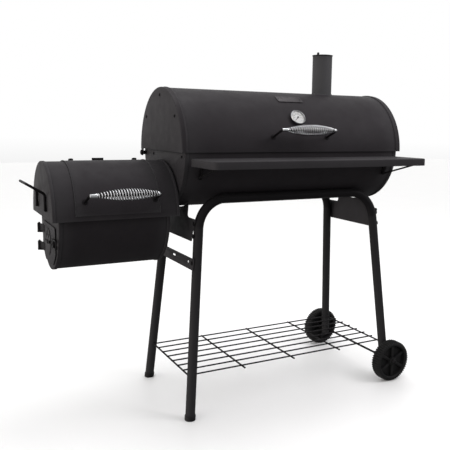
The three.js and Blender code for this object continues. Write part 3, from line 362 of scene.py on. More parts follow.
def sweep(path, radius, sides=16):
    """A round bar along a path, with slightly rounded ends."""
    points = [Vector(p) for p in path]
    radii = list(radius) if isinstance(radius, (list, tuple)) else [radius] * len(points)
    for end, inner in ((0, 1), (-1, -2)):
        soft = min(0.35 * radii[end], 0.4 * (points[inner] - points[end]).length)
        extra = points[end] + (points[inner] - points[end]).normalized() * soft
        where = 1 if end == 0 else len(points) - 1
        points.insert(where, extra)
        radii.insert(where, radii[end])
        radii[end] *= 0.65
    last = len(points) - 1
    normal = None
    rows = []
    for i, point in enumerate(points):
        tangent = (points[min(i + 1, last)] - points[max(i - 1, 0)]).normalized()
        if normal is None:
            normal = tangent.orthogonal().normalized()
        normal = (normal - tangent * normal.dot(tangent)).normalized()
        side = tangent.cross(normal)
        rows.append([point + (normal * math.cos(t) + side * math.sin(t)) * radii[i] for t in around(sides)])
    return closed(rows)


def straight(start, end, radius, sides=14):
    """A straight round bar."""
    start, end = Vector(start), Vector(end)
    return sweep([start, (start + end) / 2, end], radius, sides)


def rounded(corners, bend, steps=10):
    """A path through corners, each inner corner rounded to the bend radius."""
    corners = [Vector(c) for c in corners]
    path = [corners[0]]
    for before, corner, after in zip(corners, corners[1:], corners[2:]):
        path += arc(corner, before, after, bend, steps)
    return [*path, corners[-1]]


def block(low, high):
    """A box with its edges ready for a bevel."""
    (x0, y0, z0), (x1, y1, z1) = low, high
    verts = [(x, y, z) for x in (x0, x1) for y in (y0, y1) for z in (z0, z1)]
    return [Vector(v) for v in verts], [(0, 1, 3, 2), (4, 6, 7, 5), (0, 4, 5, 1), (2, 3, 7, 6), (0, 2, 6, 4),
                                        (1, 5, 7, 3)]


def prism(outline, place, low, high):
    """A closed extrusion of an outline; place maps (u, v, depth) to a point."""
    return closed([[place(u, v, depth) for u, v in outline] for depth in (low, high)])


def smooth(mesh, sharp):
    mesh.shade_smooth()
    mesh.set_sharp_from_angle(angle=math.radians(sharp))


def solid(obj, wall=0.0, bevel=0.0, segments=2):
    """Gives a sheet its thickness and rounds its edges, then keeps the result as the mesh."""
    if wall:
        thick = obj.modifiers.new("thickness", "SOLIDIFY")
        thick.thickness = wall * MM
        thick.offset = -1
        thick.use_even_offset = True
    if bevel:
        edges = obj.modifiers.new("edges", "BEVEL")
        edges.width = bevel * MM
        edges.segments = segments
        edges.limit_method = "ANGLE"
        edges.angle_limit = math.radians(40)
        edges.use_clamp_overlap = True
    bpy.context.view_layer.update()
    depsgraph = bpy.context.evaluated_depsgraph_get()
    mesh = bpy.data.meshes.new_from_object(obj.evaluated_get(depsgraph))
    obj.modifiers.clear()
    obj.data = mesh


def raw_object(name, parts, inside=None):
    """An object from parts in millimetres. inside is a point on the inner side of an open sheet."""
    verts, faces = merge(parts)
    mesh = bpy.data.meshes.new(name)
    mesh.from_pydata([ORIGIN + v * MM for v in verts], [], faces)
    shape = bmesh.new()
    shape.from_mesh(mesh)
    bmesh.ops.remove_doubles(shape, verts=shape.verts, dist=0.02 * MM)
    bmesh.ops.recalc_face_normals(shape, faces=shape.faces)
    if inside is not None:
        pivot = ORIGIN + Vector(inside) * MM
        facing = sum(f.normal.dot(f.calc_center_median() - pivot) * f.calc_area() for f in shape.faces)
        if facing < 0:
            bmesh.ops.reverse_faces(shape, faces=shape.faces)
    shape.to_mesh(mesh)
    shape.free()
    obj = bpy.data.objects.new(name, mesh)
    bpy.context.scene.collection.objects.link(obj)
    return obj


def piece(name, parts, body, finish, nodes=(), wall=0.0, bevel=0.0, inside=None, sharp=SHARP):
    """One visible piece of the object, riding on its body."""
    obj = raw_object(name, parts, inside)
    if wall or bevel:
        solid(obj, wall, bevel)
    smooth(obj.data, sharp)
    obj.data.materials.clear()
    obj.data.materials.append(finish)
    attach(obj, body)
    if nodes:
        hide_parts(*nodes)
    return obj


def refine(node, body, finish, bevel=0.5):
    """A copy of a node's own shape with its edges rounded."""
    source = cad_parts[node]
    shape = bmesh.new()
    shape.from_mesh(source.data)
    bmesh.ops.remove_doubles(shape, verts=shape.verts, dist=0.01 * MM)
    bmesh.ops.dissolve_limit(shape, angle_limit=math.radians(2), verts=shape.verts, edges=shape.edges)
    verts = [(v.co - ORIGIN) / MM for v in shape.verts]
    faces = [tuple(v.index for v in f.verts) for f in shape.faces]
    shape.free()
    return piece(node + "_fine", [(verts, faces)], body, finish, (node,), bevel=bevel)


def carve(obj, part):
    """Cuts a closed part out of a piece."""
    tool = raw_object("cutter", [part])
    cutting = obj.modifiers.new("cut", "BOOLEAN")
    cutting.object = tool
    cutting.operation = "DIFFERENCE"
    cutting.solver = "EXACT"
    solid(obj)
    smooth(obj.data, SHARP)
    bpy.data.objects.remove(tool)


def on_oval(a, b, rim, x, degrees):
    """The point on a lid's front at an angle up from the rim, and the outward direction there."""
    across = math.cos(math.radians(degrees))
    up = math.sin(math.radians(degrees))
    return Vector((x, -a * across, rim + b * up)), Vector((0, -across / a, up / b)).normalized()


def bolt_head(at, axis, radius=5.5, height=3.2):
    """A round-headed bolt on a small washer."""
    return lathe([(0, 0), (radius + 2.2, 0), (radius + 2.2, 0.9), (radius, 1.0),
                  (radius * 0.97, 1.0 + 0.3 * height),
                  (radius * 0.75, 1.0 + 0.78 * height), (radius * 0.4, 1.0 + 0.96 * height),
                  (0, 1.0 + height)],
                 at, axis, 28)


def yz(x):
    """Maps an end plate's (y, z) to points in the plane at x."""
    return lambda u, v: (x, u, v)


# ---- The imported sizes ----
body_low, body_high = span("barrel_left_end")
_, body_right = span("barrel_right_end")
body_skin_low, body_skin_high = span("barrel_body")
lid_low, lid_high = span("lid_left_end")
_, lid_right = span("lid_right_end")
lid_skin_low, lid_skin_high = span("lid_shell")
hood_low, hood_high = span("hood_left_end")
_, hood_right = span("hood_right_end")
hood_skin_low, hood_skin_high = span("hood_shell")
trough_low, trough_high = span("firebox_left_end")
_, trough_right = span("firebox_right_end")
trough_skin_low, trough_skin_high = span("firebox_body")

RIM = lid_skin_low.z
LAP = body_high.z - RIM
BODY_A = body_high.y
BODY_B = RIM - body_low.z
LID_A = lid_high.y
LID_B = lid_high.z - RIM
HOOD_RIM = hood_low.z
HOOD_A = hood_high.y
HOOD_B = hood_high.z - HOOD_RIM
TROUGH_A = trough_high.y
TROUGH_B = HOOD_RIM - trough_low.z
SKIN_INSET = SHEET + GAP

_, HINGE_Y, HINGE_Z = middle("lid_hinge_bolt_left")
PASSAGE_Z = middle("passage_collar").z
PASSAGE_RADIUS = 58

# ---- Barrel body ----
def skin(outline, stations):
    return grid([[(x, y, z) for y, z in outline] for x in stations])


BODY_MIDDLE = (0, 0, RIM)
piece("body_skin", [skin(oval(BODY_A - SKIN_INSET, BODY_B - SKIN_INSET, -1, RIM, LAP),
                         [lerp(body_skin_low.x, body_skin_high.x, i / 12) for i in range(13)])],
      "grill", PAINT, ("barrel_body",), wall=SKIN_WALL, bevel=SKIN_EDGE, inside=BODY_MIDDLE)


def end_place(x, facing):
    return lambda u, v, depth: (x - facing * depth, u, v)


def end_plates(prefix, node, body, ends, outline, flange, corner, inside, holes, **more):
    """The pressed plates at both ends; ends and holes hold the left one's and then the right one's."""
    for side, facing, x, cut in (("left", -1, ends[0], holes[0]), ("right", 1, ends[1], holes[1])):
        parts = pressed(outline, end_place(x, facing), flange, corner, holes=cut, **more)
        piece(f"{prefix}_{side}_plate", parts, body, PAINT, (f"{node}_{side}_end",), wall=CAP_WALL,
              bevel=CAP_EDGE, inside=inside)


HINGE_BORE = circle(HINGE_Y, HINGE_Z, HINGE_HOLE, 20)
PASSAGE = circle(0, PASSAGE_Z, PASSAGE_RADIUS + SKIN_INSET)
end_plates("body", "barrel", "grill", (body_low.x, body_right.x), oval(BODY_A, BODY_B, -1, RIM, LAP), 14, 3.2,
           BODY_MIDDLE, ([HINGE_BORE, PASSAGE], [HINGE_BORE]))

# ---- Main lid ----
LID_MIDDLE = (0, 0, RIM)
lid = piece("lid_skin", [skin(oval(LID_A - SKIN_INSET, LID_B - SKIN_INSET, 1, RIM, 0, 128),
                              [lerp(lid_skin_low.x, lid_skin_high.x, i / 12) for i in range(13)])],
            "lid", PAINT, ("lid_shell",), wall=SKIN_WALL, bevel=0.6, inside=LID_MIDDLE)

chimney_low, chimney_high = span("chimney")
CHIMNEY_X = middle("chimney").x
CHIMNEY_R = chimney_high.y
CHIMNEY_TOP = chimney_high.z
carve(lid, lathe([(0, -60), (CHIMNEY_R + 0.3, -60), (CHIMNEY_R + 0.3, 40), (0, 40)],
                 (CHIMNEY_X, 0, lid_high.z), (0, 0, 1), 64))

EAR = 11
ear = [(HINGE_Y + EAR - 0.5, RIM - 3), (HINGE_Y + EAR - 0.5, HINGE_Z)]
for step in range(1, 12):
    angle = math.pi * step / 12
    ear.append((HINGE_Y + EAR * math.cos(angle), HINGE_Z - EAR * math.sin(angle)))
ear += [(HINGE_Y - EAR, HINGE_Z), (HINGE_Y - EAR - 2, RIM + 1), (LID_A * 0.4, RIM + 0.5),
        (-LID_A * 0.4, RIM + 0.5)]
end_plates("lid", "lid", "lid", (lid_low.x, lid_right.x), oval(LID_A, LID_B, 1, RIM), 22, 3.5, LID_MIDDLE,
           ([HINGE_BORE], [HINGE_BORE]), extra=ear, bead=1.0)

# Screws that hold the end plates to their skins.
screws = []
for facing, x in ((-1, lid_low.x), (1, lid_right.x)):
    for degrees in (38, 90, 142):
        foot, _ = on_oval(LID_A - 26, LID_B - 26, RIM, x, degrees)
        screws.append(bolt_head(foot, (facing, 0, 0), SCREW_RADIUS, SCREW_HEIGHT))
piece("lid_screws", screws, "lid", HARDWARE)
screws = []
for facing, x in ((-1, body_low.x), (1, body_right.x)):
    for y in (-BODY_A + 26, BODY_A - 95):
        screws.append(bolt_head((x, y, RIM - 14), (facing, 0, 0), SCREW_RADIUS, SCREW_HEIGHT))
piece("body_screws", screws, "grill", HARDWARE)

# ---- Chimney, damper and pin ----
INNER = CHIMNEY_R - SHEET
BOTTOM = chimney_low.z
pipe = [(INNER, BOTTOM), (CHIMNEY_R, BOTTOM), (CHIMNEY_R, CHIMNEY_TOP - 0.8), (CHIMNEY_R - 0.5, CHIMNEY_TOP),
        (INNER + 0.4, CHIMNEY_TOP), (INNER, CHIMNEY_TOP - 0.6)]
PIN_Y = middle("damper_pin").y
chimney_parts = [ring(pipe, (CHIMNEY_X, 0, 0), (0, 0, 1), 96)]
for near, far in ((-6, -2.8), (2.8, 6)):
    chimney_parts.append(block((CHIMNEY_X + near, PIN_Y - 5, CHIMNEY_TOP - 14),
                               (CHIMNEY_X + far, INNER + 0.4, CHIMNEY_TOP - 1)))
piece("chimney_pipe", chimney_parts, "lid", PAINT, ("chimney",), sharp=50)


def saddle(inner, outer, lift):
    """A weld bead round the pipe where it meets the lid."""
    rows = []
    for radius, up in ((inner, lift), (lerp(inner, outer, 0.35), lift * 0.9),
                       (lerp(inner, outer, 0.75), lift * 0.4), (outer, 0.05)):
        row = []
        for angle in around(96):
            y = radius * math.sin(angle)
            top = RIM + (LID_B - SKIN_INSET) * math.sqrt(1 - (y / (LID_A - SKIN_INSET)) ** 2)
            row.append((CHIMNEY_X + radius * math.cos(angle), y,
                        top + up + 0.25 * math.sin(29 * angle) * (up > 0.1)))
        rows.append(row)
    return grid(rows, wrap=True)


piece("chimney_weld", [saddle(CHIMNEY_R + 0.05, CHIMNEY_R + 3.4, 3.0)], "lid", PAINT,
      inside=(CHIMNEY_X, 0, RIM), wall=0.4, sharp=60)
damper_low, damper_high = span("damper")
DAMPER_R = (damper_high.x - damper_low.x) / 2
DZ = damper_low.z
piece("damper_disc", [lathe([(0, DZ), (DAMPER_R - 0.6, DZ), (DAMPER_R, DZ + 0.7),
                             (DAMPER_R, damper_high.z - 0.7),
                             (DAMPER_R - 0.7, damper_high.z), (DAMPER_R - 6, damper_high.z),
                             (DAMPER_R - 8, damper_high.z - 0.7), (0, damper_high.z - 0.7)],
                            (CHIMNEY_X, 0, 0), (0, 0, 1), 96)], "damper", HARDWARE, ("damper",))
refine("damper_pin", "lid", HARDWARE, 0.4)

# ---- Thermometer ----
dial_low, dial_high = span("thermometer_dial")
DIAL_X = middle("thermometer_dial").x
dial_foot, dial_out = on_oval(LID_A - SKIN_INSET, LID_B - SKIN_INSET, RIM, DIAL_X, DIAL_ANGLE)
FACE = (dial_high.x - dial_low.x) / 2 + GAP
BEZEL = FACE + 3
DEPTH = 12
bezel = [(0, -32), (3.2, -32), (4, -31), (4, -9), (8, -9), (8, -4.4), (4, -4.4), (4, 0.2), (BEZEL - 5, 0.2),
         (BEZEL - 1.5, 0.6),
         (BEZEL - 0.4, 1.6), (BEZEL, 3.2), (BEZEL, DEPTH - 3.5), (BEZEL - 0.7, DEPTH - 1.2),
         (BEZEL - 2, DEPTH), (FACE + 0.4, DEPTH - 0.5), (FACE, DEPTH - 1.4), (FACE, 4.6), (0, 4.6)]
piece("thermometer_bezel", [lathe(bezel, dial_foot, dial_out, 96)], "lid", CHROME, ("thermometer_case",),
      sharp=50)
DIAL_TOP = 6.0
piece("thermometer_plate", [lathe([(0, 5), (FACE - 0.4, 5), (FACE - 0.4, DIAL_TOP - 0.2),
                                   (FACE - 0.6, DIAL_TOP),
                                   (0, DIAL_TOP)], dial_foot, dial_out, 96)], "lid", DIAL,
      ("thermometer_dial",))

dial_right = Vector((1, 0, 0))
dial_up = dial_out.cross(dial_right).normalized()


def on_dial(u, v, height):
    return dial_foot + dial_right * u + dial_up * v + dial_out * height


def dial_bar(angle, r0, r1, half, low, high):
    """A small flat bar on the dial, pointing out from its middle at an angle clockwise from the top."""
    along = Vector((math.sin(angle), math.cos(angle)))
    side = Vector((along.y, -along.x))
    outline = [along * r0 - side * half, along * r0 + side * half, along * r1 + side * half,
               along * r1 - side * half]
    return prism([tuple(p) for p in outline], on_dial, low, high)


MARKS = 28
START = math.radians(-135)
SWEEP = math.radians(270)
ticks = []
for i in range(MARKS + 1):
    angle = START + SWEEP * i / MARKS
    long = i % 4 == 0
    ticks.append(dial_bar(angle, FACE - (6.5 if long else 4.5), FACE - 2.4, 0.42 if long else 0.22, DIAL_TOP,
                          DIAL_TOP + 0.12))
ARC = FACE - 8.4
ticks.append(ring([(ARC, DIAL_TOP), (ARC + 0.4, DIAL_TOP), (ARC + 0.4, DIAL_TOP + 0.1),
                   (ARC, DIAL_TOP + 0.1)],
                  dial_foot, dial_out, 72))
piece("dial_marks", ticks, "lid", INK)


def dial_number(text, angle):
    """A number of the scale, as thin raised print."""
    font = bpy.data.curves.new("dial_number", "FONT")
    font.body = text
    font.size = 3.8 * MM
    font.extrude = 0.06 * MM
    font.align_x = "CENTER"
    font.align_y = "CENTER"
    font.resolution_u = 3
    obj = bpy.data.objects.new("dial_number", font)
    bpy.context.scene.collection.objects.link(obj)
    bpy.context.view_layer.update()
    mesh = bpy.data.meshes.new_from_object(obj.evaluated_get(bpy.context.evaluated_depsgraph_get()))
    bpy.data.objects.remove(obj)
    reach = FACE - 11.5
    verts = []
    for v in mesh.vertices:
        u, w, h = v.co / MM
        verts.append(on_dial(u + reach * math.sin(angle), w + reach * math.cos(angle), DIAL_TOP + 0.08 + h))
    return verts, [tuple(p.vertices) for p in mesh.polygons]


numbers = [dial_number(str(100 * (i + 1)), START + SWEEP * i / 7) for i in range(0, 7)]
piece("dial_numbers", numbers, "lid", INK)

needle_low = DIAL_TOP + 0.5
NEEDLE_TIP = FACE - 5
REST_TURN = math.radians(-135)
needle = [dial_bar(REST_TURN, -6, 4, 1.5, needle_low, needle_low + 0.6),
          prism([(math.sin(REST_TURN) * NEEDLE_TIP, math.cos(REST_TURN) * NEEDLE_TIP)]
                + [(math.sin(REST_TURN) * 3 + s * math.cos(REST_TURN) * 1.0,
                    math.cos(REST_TURN) * 3 - s * math.sin(REST_TURN) * 1.0) for s in (1, -1)],
                on_dial, needle_low, needle_low + 0.6),
          ring([(2.1, needle_low), (3.4, needle_low), (3.4, needle_low + 0.8), (3.0, needle_low + 1.1),
                (2.1, needle_low + 1.1)], dial_foot, dial_out, 32)]
piece("dial_needle", needle, "needle", INK, ("thermometer_needle",), bevel=0.1)
piece("dial_hub", [lathe([(0, DIAL_TOP), (1.6, DIAL_TOP), (1.6, DIAL_TOP + 1.7), (1.2, DIAL_TOP + 2.1),
                          (0, DIAL_TOP + 2.2)],
                         dial_foot, dial_out, 24)], "lid", CHROME)
LENS = DEPTH - 1.6
piece("dial_lens", [lathe([(0, LENS), (FACE - 0.5, LENS), (FACE - 0.4, LENS + 0.2), (FACE - 0.4, LENS + 1.0),
                           (FACE - 0.6, LENS + 1.2), (0, LENS + 1.2)], dial_foot, dial_out, 64)],
      "lid", GLASS, ("thermometer_lens",))

# ---- Blank name plate ----
plate_low, plate_high = span("name_plate")
plate_foot, plate_out = on_oval(LID_A - SKIN_INSET, LID_B - SKIN_INSET, RIM, middle("name_plate").x,
                                PLATE_ANGLE)
plate_up = plate_out.cross(dial_right).normalized()
PLATE_L = (plate_high.x - plate_low.x) / 2
PLATE_W = 17.5
rows = []
for inset, height in ((0.0, 0.4), (0.0, 1.7), (0.7, 2.4), (3.6, 2.4), (4.6, 1.5), (7.0, 1.5), (8.5, 2.1)):
    half_l, half_w = PLATE_L - inset, PLATE_W - inset
    loop = round_box(-half_l, -half_w, half_l, half_w, max(4 - inset, 0.5))
    rows.append([plate_foot + dial_right * u + plate_up * v + plate_out * height for u, v in loop])
rivets = [lathe([(0, 2.3), (2.0, 2.3), (1.9, 2.9), (1.2, 3.5), (0, 3.7)],
                plate_foot + dial_right * s * (PLATE_L - 6), plate_out, 20) for s in (-1, 1)]
piece("blank_plate", [closed(rows), *rivets], "lid", PLATE_METAL, ("name_plate",))


# ---- Spring handles ----
def spring_handle(prefix, body, a, b, rim, middle_x, degrees, rod_node, grip_node):
    tilt = math.radians(HANDLE_TILT)
    out = Vector((0, -math.cos(tilt), math.sin(tilt)))
    feet = [on_oval(a, b, rim, middle_x + s * HANDLE_SPAN, degrees)[0] for s in (-1, 1)]
    normal = on_oval(a, b, rim, middle_x, degrees)[1]
    rod = [foot + out * HANDLE_REACH for foot in feet]
    path = rounded([feet[0] - out * 8, rod[0], rod[1], feet[1] - out * 8], 9, 8)
    washers = []
    for foot in feet:
        washers.append(ring([(4.2, 0.2), (9, 0.2), (9, 1.2), (8.6, 1.5), (4.2, 1.5)], foot, normal, 28))
    piece(prefix + "_rod", [sweep(path, ROD_RADIUS, 20), *washers], body, HARDWARE, (rod_node,))
    centre = (rod[0] + rod[1]) / 2 + Vector((SPRING_SHIFT, 0, 0))
    wire, turns = SPRING_WIRE, SPRING_TURNS
    steps = turns * 30
    path = []
    for i in range(steps + 1):
        along = 2 * i / steps - 1
        radius = max(lerp(GRIP_END, GRIP_MIDDLE, 1 - along ** 2) - wire, ROD_RADIUS + wire + 0.15)
        turn = 2 * math.pi * turns * i / steps
        path.append(centre + Vector((along * (GRIP_HALF - wire), radius * math.cos(turn),
                                     radius * math.sin(turn))))
    ferrule = [(4.25, -0.5), (6.4, -0.5), (6.9, 0.4), (6.9, 4), (6.0, 7.5), (5.8, 20.5), (5.2, 22),
               (4.25, 22.2)]
    left = ring(ferrule, centre - Vector((GRIP_HALF - 1.5, 0, 0)), (-1, 0, 0), 40)
    cone = [(4.25, -0.5), (7.0, -0.5), (7.2, 0.6), (6.6, 4.5), (5.3, 8), (4.9, 8.6), (4.25, 8.8)]
    right = ring(cone, centre + Vector((GRIP_HALF - 1.5, 0, 0)), (1, 0, 0), 40)
    piece(prefix + "_spring", [sweep(path, wire, 10), left, right], body, CHROME, (grip_node,), sharp=60)


spring_handle("lid_handle", "lid", LID_A - SKIN_INSET, LID_B - SKIN_INSET, RIM, 0, LID_HANDLE_ANGLE,
              "lid_handle_rod", "lid_handle_grip")

# ---- Firebox hood ----
fire_low, fire_high = span("firebox_lid")
FIRE_MIDDLE_X = middle("firebox_lid").x
HOOD_MIDDLE = ((hood_low.x + hood_right.x) / 2, 0, HOOD_RIM)
OVERLAP = 9
FIRE_EDGE = fire_low.z
FIRE_HINGE_Y = 45
OPEN_BACK = FIRE_HINGE_Y - 22


def oval_angles(bounds, count):
    """Angles from the front rim to the back one that land on each bound."""
    angles = []
    for first, last in zip(bounds, bounds[1:]):
        steps = max(2, round(count * (last - first) / math.pi))
        angles += [lerp(first, last, i / steps) for i in range(steps)]
    return angles + [bounds[-1]]


a, b = HOOD_A - SKIN_INSET, HOOD_B - SKIN_INSET
open_low = math.asin((FIRE_EDGE + OVERLAP - HOOD_RIM) / b)
open_high = math.acos(-OPEN_BACK / a)
angles = oval_angles([0, open_low, open_high, math.pi], 96)
stations = [hood_skin_low.x, fire_low.x - 6, fire_low.x + OVERLAP, FIRE_MIDDLE_X, fire_high.x - OVERLAP,
            fire_high.x + 6, hood_skin_high.x]
rows = [[(x, -a * math.cos(t), HOOD_RIM + b * math.sin(t)) for t in angles] for x in stations]


def outside_opening(i, j):
    middle_x = (stations[i] + stations[i + 1]) / 2
    middle_angle = (angles[j] + angles[j + 1]) / 2
    over = open_low < middle_angle < open_high
    return not (over and fire_low.x + OVERLAP < middle_x < fire_high.x - OVERLAP)


piece("hood_skin", [grid(rows, keep=outside_opening)], "grill", PAINT, ("hood_shell",), wall=SKIN_WALL,
      bevel=SKIN_EDGE, inside=HOOD_MIDDLE)
end_plates("hood", "hood", "grill", (hood_low.x, hood_right.x), oval(HOOD_A, HOOD_B, 1, HOOD_RIM), 10, 3.0,
           HOOD_MIDDLE, ([], [PASSAGE]))

# The collar between the firebox and the barrel.
RING_LEFT, RING_RIGHT = hood_right.x + GAP, body_low.x - GAP
PASSAGE_OUTER = PASSAGE_RADIUS + SHEET
SHOULDER = PASSAGE_OUTER + 14   # the collar's wide part between the two plates
profile = [(PASSAGE_RADIUS, RING_LEFT - 5), (PASSAGE_OUTER, RING_LEFT - 5), (PASSAGE_OUTER, RING_LEFT),
           (SHOULDER - 0.6, RING_LEFT), (SHOULDER, RING_LEFT + 0.5), (SHOULDER, RING_RIGHT - 0.5),
           (SHOULDER - 0.6, RING_RIGHT), (PASSAGE_OUTER, RING_RIGHT), (PASSAGE_OUTER, RING_RIGHT + 5),
           (PASSAGE_RADIUS, RING_RIGHT + 5)]
piece("passage_ring", [ring(profile, (0, 0, PASSAGE_Z), (1, 0, 0), 72)], "grill", PAINT, ("passage_collar",))

# ---- Firebox lid ----
a, b = HOOD_A, HOOD_B
first = math.asin((FIRE_EDGE - HOOD_RIM) / b)
rear_edge = FIRE_HINGE_Y - 7
last = math.acos(-rear_edge / a)
angles = oval_angles([first, last], 110)
rows = [[(x, -a * math.cos(t), HOOD_RIM + b * math.sin(t)) for t in angles]
        for x in (lerp(fire_low.x, fire_high.x, i / 8) for i in range(9))]
lid_sheet = grid(rows)
HINGE_TOP = HOOD_RIM + HOOD_B * math.sqrt(1 - (FIRE_HINGE_Y / HOOD_A) ** 2) + 6
piece("fire_lid_sheet", [lid_sheet], "firebox_lid", PAINT, ("firebox_lid",), wall=SKIN_WALL, bevel=SKIN_EDGE,
      inside=HOOD_MIDDLE)
eyes = []
for x in (middle("firebox_hinge_left").x, middle("firebox_hinge_right").x):
    eye = [(2.9, -4), (4.6, -4), (5, -3.6), (5, 3.6), (4.6, 4), (2.9, 4)]
    eyes.append(ring(eye, (x, FIRE_HINGE_Y, HINGE_TOP), (1, 0, 0), 32))
    neck_top = HOOD_RIM + HOOD_B * math.sqrt(1 - ((rear_edge - 3) / HOOD_A) ** 2)
    eyes.append(prism([(rear_edge - 9, neck_top + 0.9), (rear_edge - 9, neck_top + 2.1),
                       (FIRE_HINGE_Y - 3, neck_top + 2.6), (FIRE_HINGE_Y - 3, neck_top - 0.6)],
                      lambda u, v, depth: (depth, u, v), x - 3.5, x + 3.5))
piece("fire_lid_eyes", eyes, "firebox_lid", HARDWARE, bevel=0.3)
hems = []
for x in (fire_low.x + 1.6, fire_high.x - 1.6):
    hems.append(sweep([(x, -(a + 0.5) * math.cos(t), HOOD_RIM + (b + 0.5) * math.sin(t)) for t in angles],
                      1.1, 10))
piece("fire_lid_hems", hems, "firebox_lid", PAINT)
spring_handle("fire_handle", "firebox_lid", HOOD_A, HOOD_B, HOOD_RIM, middle("firebox_handle_rod").x,
              FIRE_HANDLE_ANGLE, "firebox_handle_rod", "firebox_handle_grip")

# ---- Firebox trough ----
TROUGH_MIDDLE = ((trough_low.x + trough_right.x) / 2, 0, HOOD_RIM)
ledge_z = trough_skin_high.z - 0.1
ledge_y = trough_skin_high.y
outline = oval(TROUGH_A - SKIN_INSET, TROUGH_B - SKIN_INSET, -1, HOOD_RIM, 0, 96)
outline = [(-ledge_y, ledge_z),
           (-TROUGH_A + SKIN_INSET, ledge_z)] + outline + [(TROUGH_A - SKIN_INSET, ledge_z),
                                                                             (ledge_y, ledge_z)]
piece("trough_skin", [skin(outline, [lerp(trough_skin_low.x, trough_skin_high.x, i / 8) for i in range(9)])],
      "grill",
      PAINT, ("firebox_body",), wall=SKIN_WALL, bevel=0.4, inside=(TROUGH_MIDDLE[0], 0, HOOD_RIM + 20))

# Folded lips close the hood's overhang at both ends.
lips = []
for first_x, last_x in ((hood_low.x + 2, trough_low.x + 1), (trough_right.x - 1, hood_right.x - 2)):
    lips.append(block((first_x, 0.5 - ledge_y, ledge_z - CAP_WALL), (last_x, ledge_y - 0.5, ledge_z - 0.1)))
piece("trough_lips", lips, "grill", PAINT, bevel=0.3)

door_low, door_high = span("ash_door")
DOOR_HALF = -door_low.y
DOOR_TOP, DOOR_BOTTOM = door_high.z, door_low.z
DOOR_INSET = 8


def door_outline(inset, corner):
    """The trough's own outline drawn in, cut by a straight top, bottom and sides."""
    a, b = TROUGH_A - DOOR_INSET - inset, TROUGH_B - DOOR_INSET - inset
    half = DOOR_HALF - inset
    top, bottom = DOOR_TOP - inset, DOOR_BOTTOM + inset
    shoulder = math.acos(half / a)
    foot = math.asin((HOOD_RIM - bottom) / b)
    lower = []
    for i in range(25):
        angle = lerp(shoulder, foot, i / 24)
        lower.append((-a * math.cos(angle), HOOD_RIM - b * math.sin(angle)))
    head = fillet([(half, top - 40, 0), (half, top, corner), (-half, top, corner),
                   (-half, top - 40, 0)])[1:-1]
    return head + lower + [(-y, z) for y, z in reversed(lower)]


end_plates("trough", "firebox", "grill", (trough_low.x, trough_right.x),
           oval(TROUGH_A, TROUGH_B, -1, HOOD_RIM), 12, 3.0, TROUGH_MIDDLE, ([door_outline(9, 8)], []))

# ---- Ash door, air shutter and latch ----
_, VENT_Y, VENT_Z = middle("shutter_rivet")
VENT_RADIUS = 28
DOOR_X = trough_low.x - SHEET - 2 * GAP - SHEET


def vent_slots():
    slots = []
    for i in range(5):
        turn = (i - 2) * math.pi / 4
        outline = round_box(-3, VENT_RADIUS - 10, 3, VENT_RADIUS + 10, 2.6, 5)
        slots.append([(VENT_Y + u * math.cos(turn) - v * math.sin(turn),
                       VENT_Z + u * math.sin(turn) + v * math.cos(turn))
                      for u, v in outline])
    return slots


LATCH_Y = span("door_latch")[1].y - 15
LATCH_Z = middle("door_latch").z
door_holes = [*vent_slots(), circle(VENT_Y, VENT_Z, PIVOT_HOLE, 20), circle(LATCH_Y, LATCH_Z, PIVOT_HOLE, 20)]
piece("ash_door_panel", [sheet_of([door_outline(0, 12), *door_holes], yz(DOOR_X))], "ash_door", PAINT,
      ("ash_door",), wall=SHEET, bevel=CAP_EDGE, inside=(DOOR_X + 100, 0, VENT_Z))
lower_hinge, upper_hinge = span("door_hinge_lower"), span("door_hinge_upper")
HINGE_AXIS_X = lower_hinge[0].x + 5.5
HINGE_AXIS_Y = lower_hinge[1].y - 5.5
knuckles = []
for low, high in (lower_hinge, upper_hinge):
    bottom, top = low.z + 8, high.z - 3
    profile = [(3.4, bottom), (5.1, bottom), (5.5, bottom + 0.5), (5.5, top - 0.5), (5.1, top), (3.4, top)]
    knuckles.append(ring(profile, (HINGE_AXIS_X, HINGE_AXIS_Y, 0), (0, 0, 1), 32))
    leaf = [(DOOR_X - 0.9, 62), (DOOR_X + 1.2, 62), (DOOR_X + 1.2, 84), (HINGE_AXIS_X + 4, HINGE_AXIS_Y - 1),
            (HINGE_AXIS_X, HINGE_AXIS_Y - 4)]
    knuckles.append(prism(leaf, lambda u, v, depth: (u, v, depth), bottom, top))
    for rise in (6, 16):
        knuckles.append(bolt_head((DOOR_X - 0.6, 69, bottom + rise), (-1, 0, 0), 1.7, 1.1))
piece("ash_door_knuckles", knuckles, "ash_door", HARDWARE, bevel=0.3)

SHUTTER_X = DOOR_X - GAP
SHUTTER_R = 42
tab_turn = math.radians(84)
outline = [(VENT_Y + SHUTTER_R * math.sin(t), VENT_Z + SHUTTER_R * math.cos(t)) for t in around(96)]
shutter = sheet_of([outline, *vent_slots(), circle(VENT_Y, VENT_Z, PIVOT_HOLE, 20)], yz(SHUTTER_X - SHEET))
piece("shutter_disc", [shutter], "air_shutter", PAINT, ("air_shutter",), wall=SHEET, bevel=CAP_EDGE,
      inside=(DOOR_X + 100, 0, VENT_Z))
tab_path = []
for i in range(9):
    t = i / 8
    tab_path.append((lerp(SHUTTER_R - 8, SHUTTER_R + 8.6, t), 6.2 * math.sin(math.pi * min(t, 0.62))))
tab = []
for reach, out in tab_path:
    row = []
    for s, lift in ((-4.4, 0), (4.4, 0), (4.4, 1.7), (-4.4, 1.7)):
        y = VENT_Y - reach * math.sin(tab_turn) + s * math.cos(tab_turn)
        z = VENT_Z + reach * math.cos(tab_turn) + s * math.sin(tab_turn)
        row.append((SHUTTER_X - SHEET - out * 0.75 - lift, y, z))
    tab.append(row)
piece("shutter_tab", [closed(tab)], "air_shutter", HARDWARE, bevel=0.5)
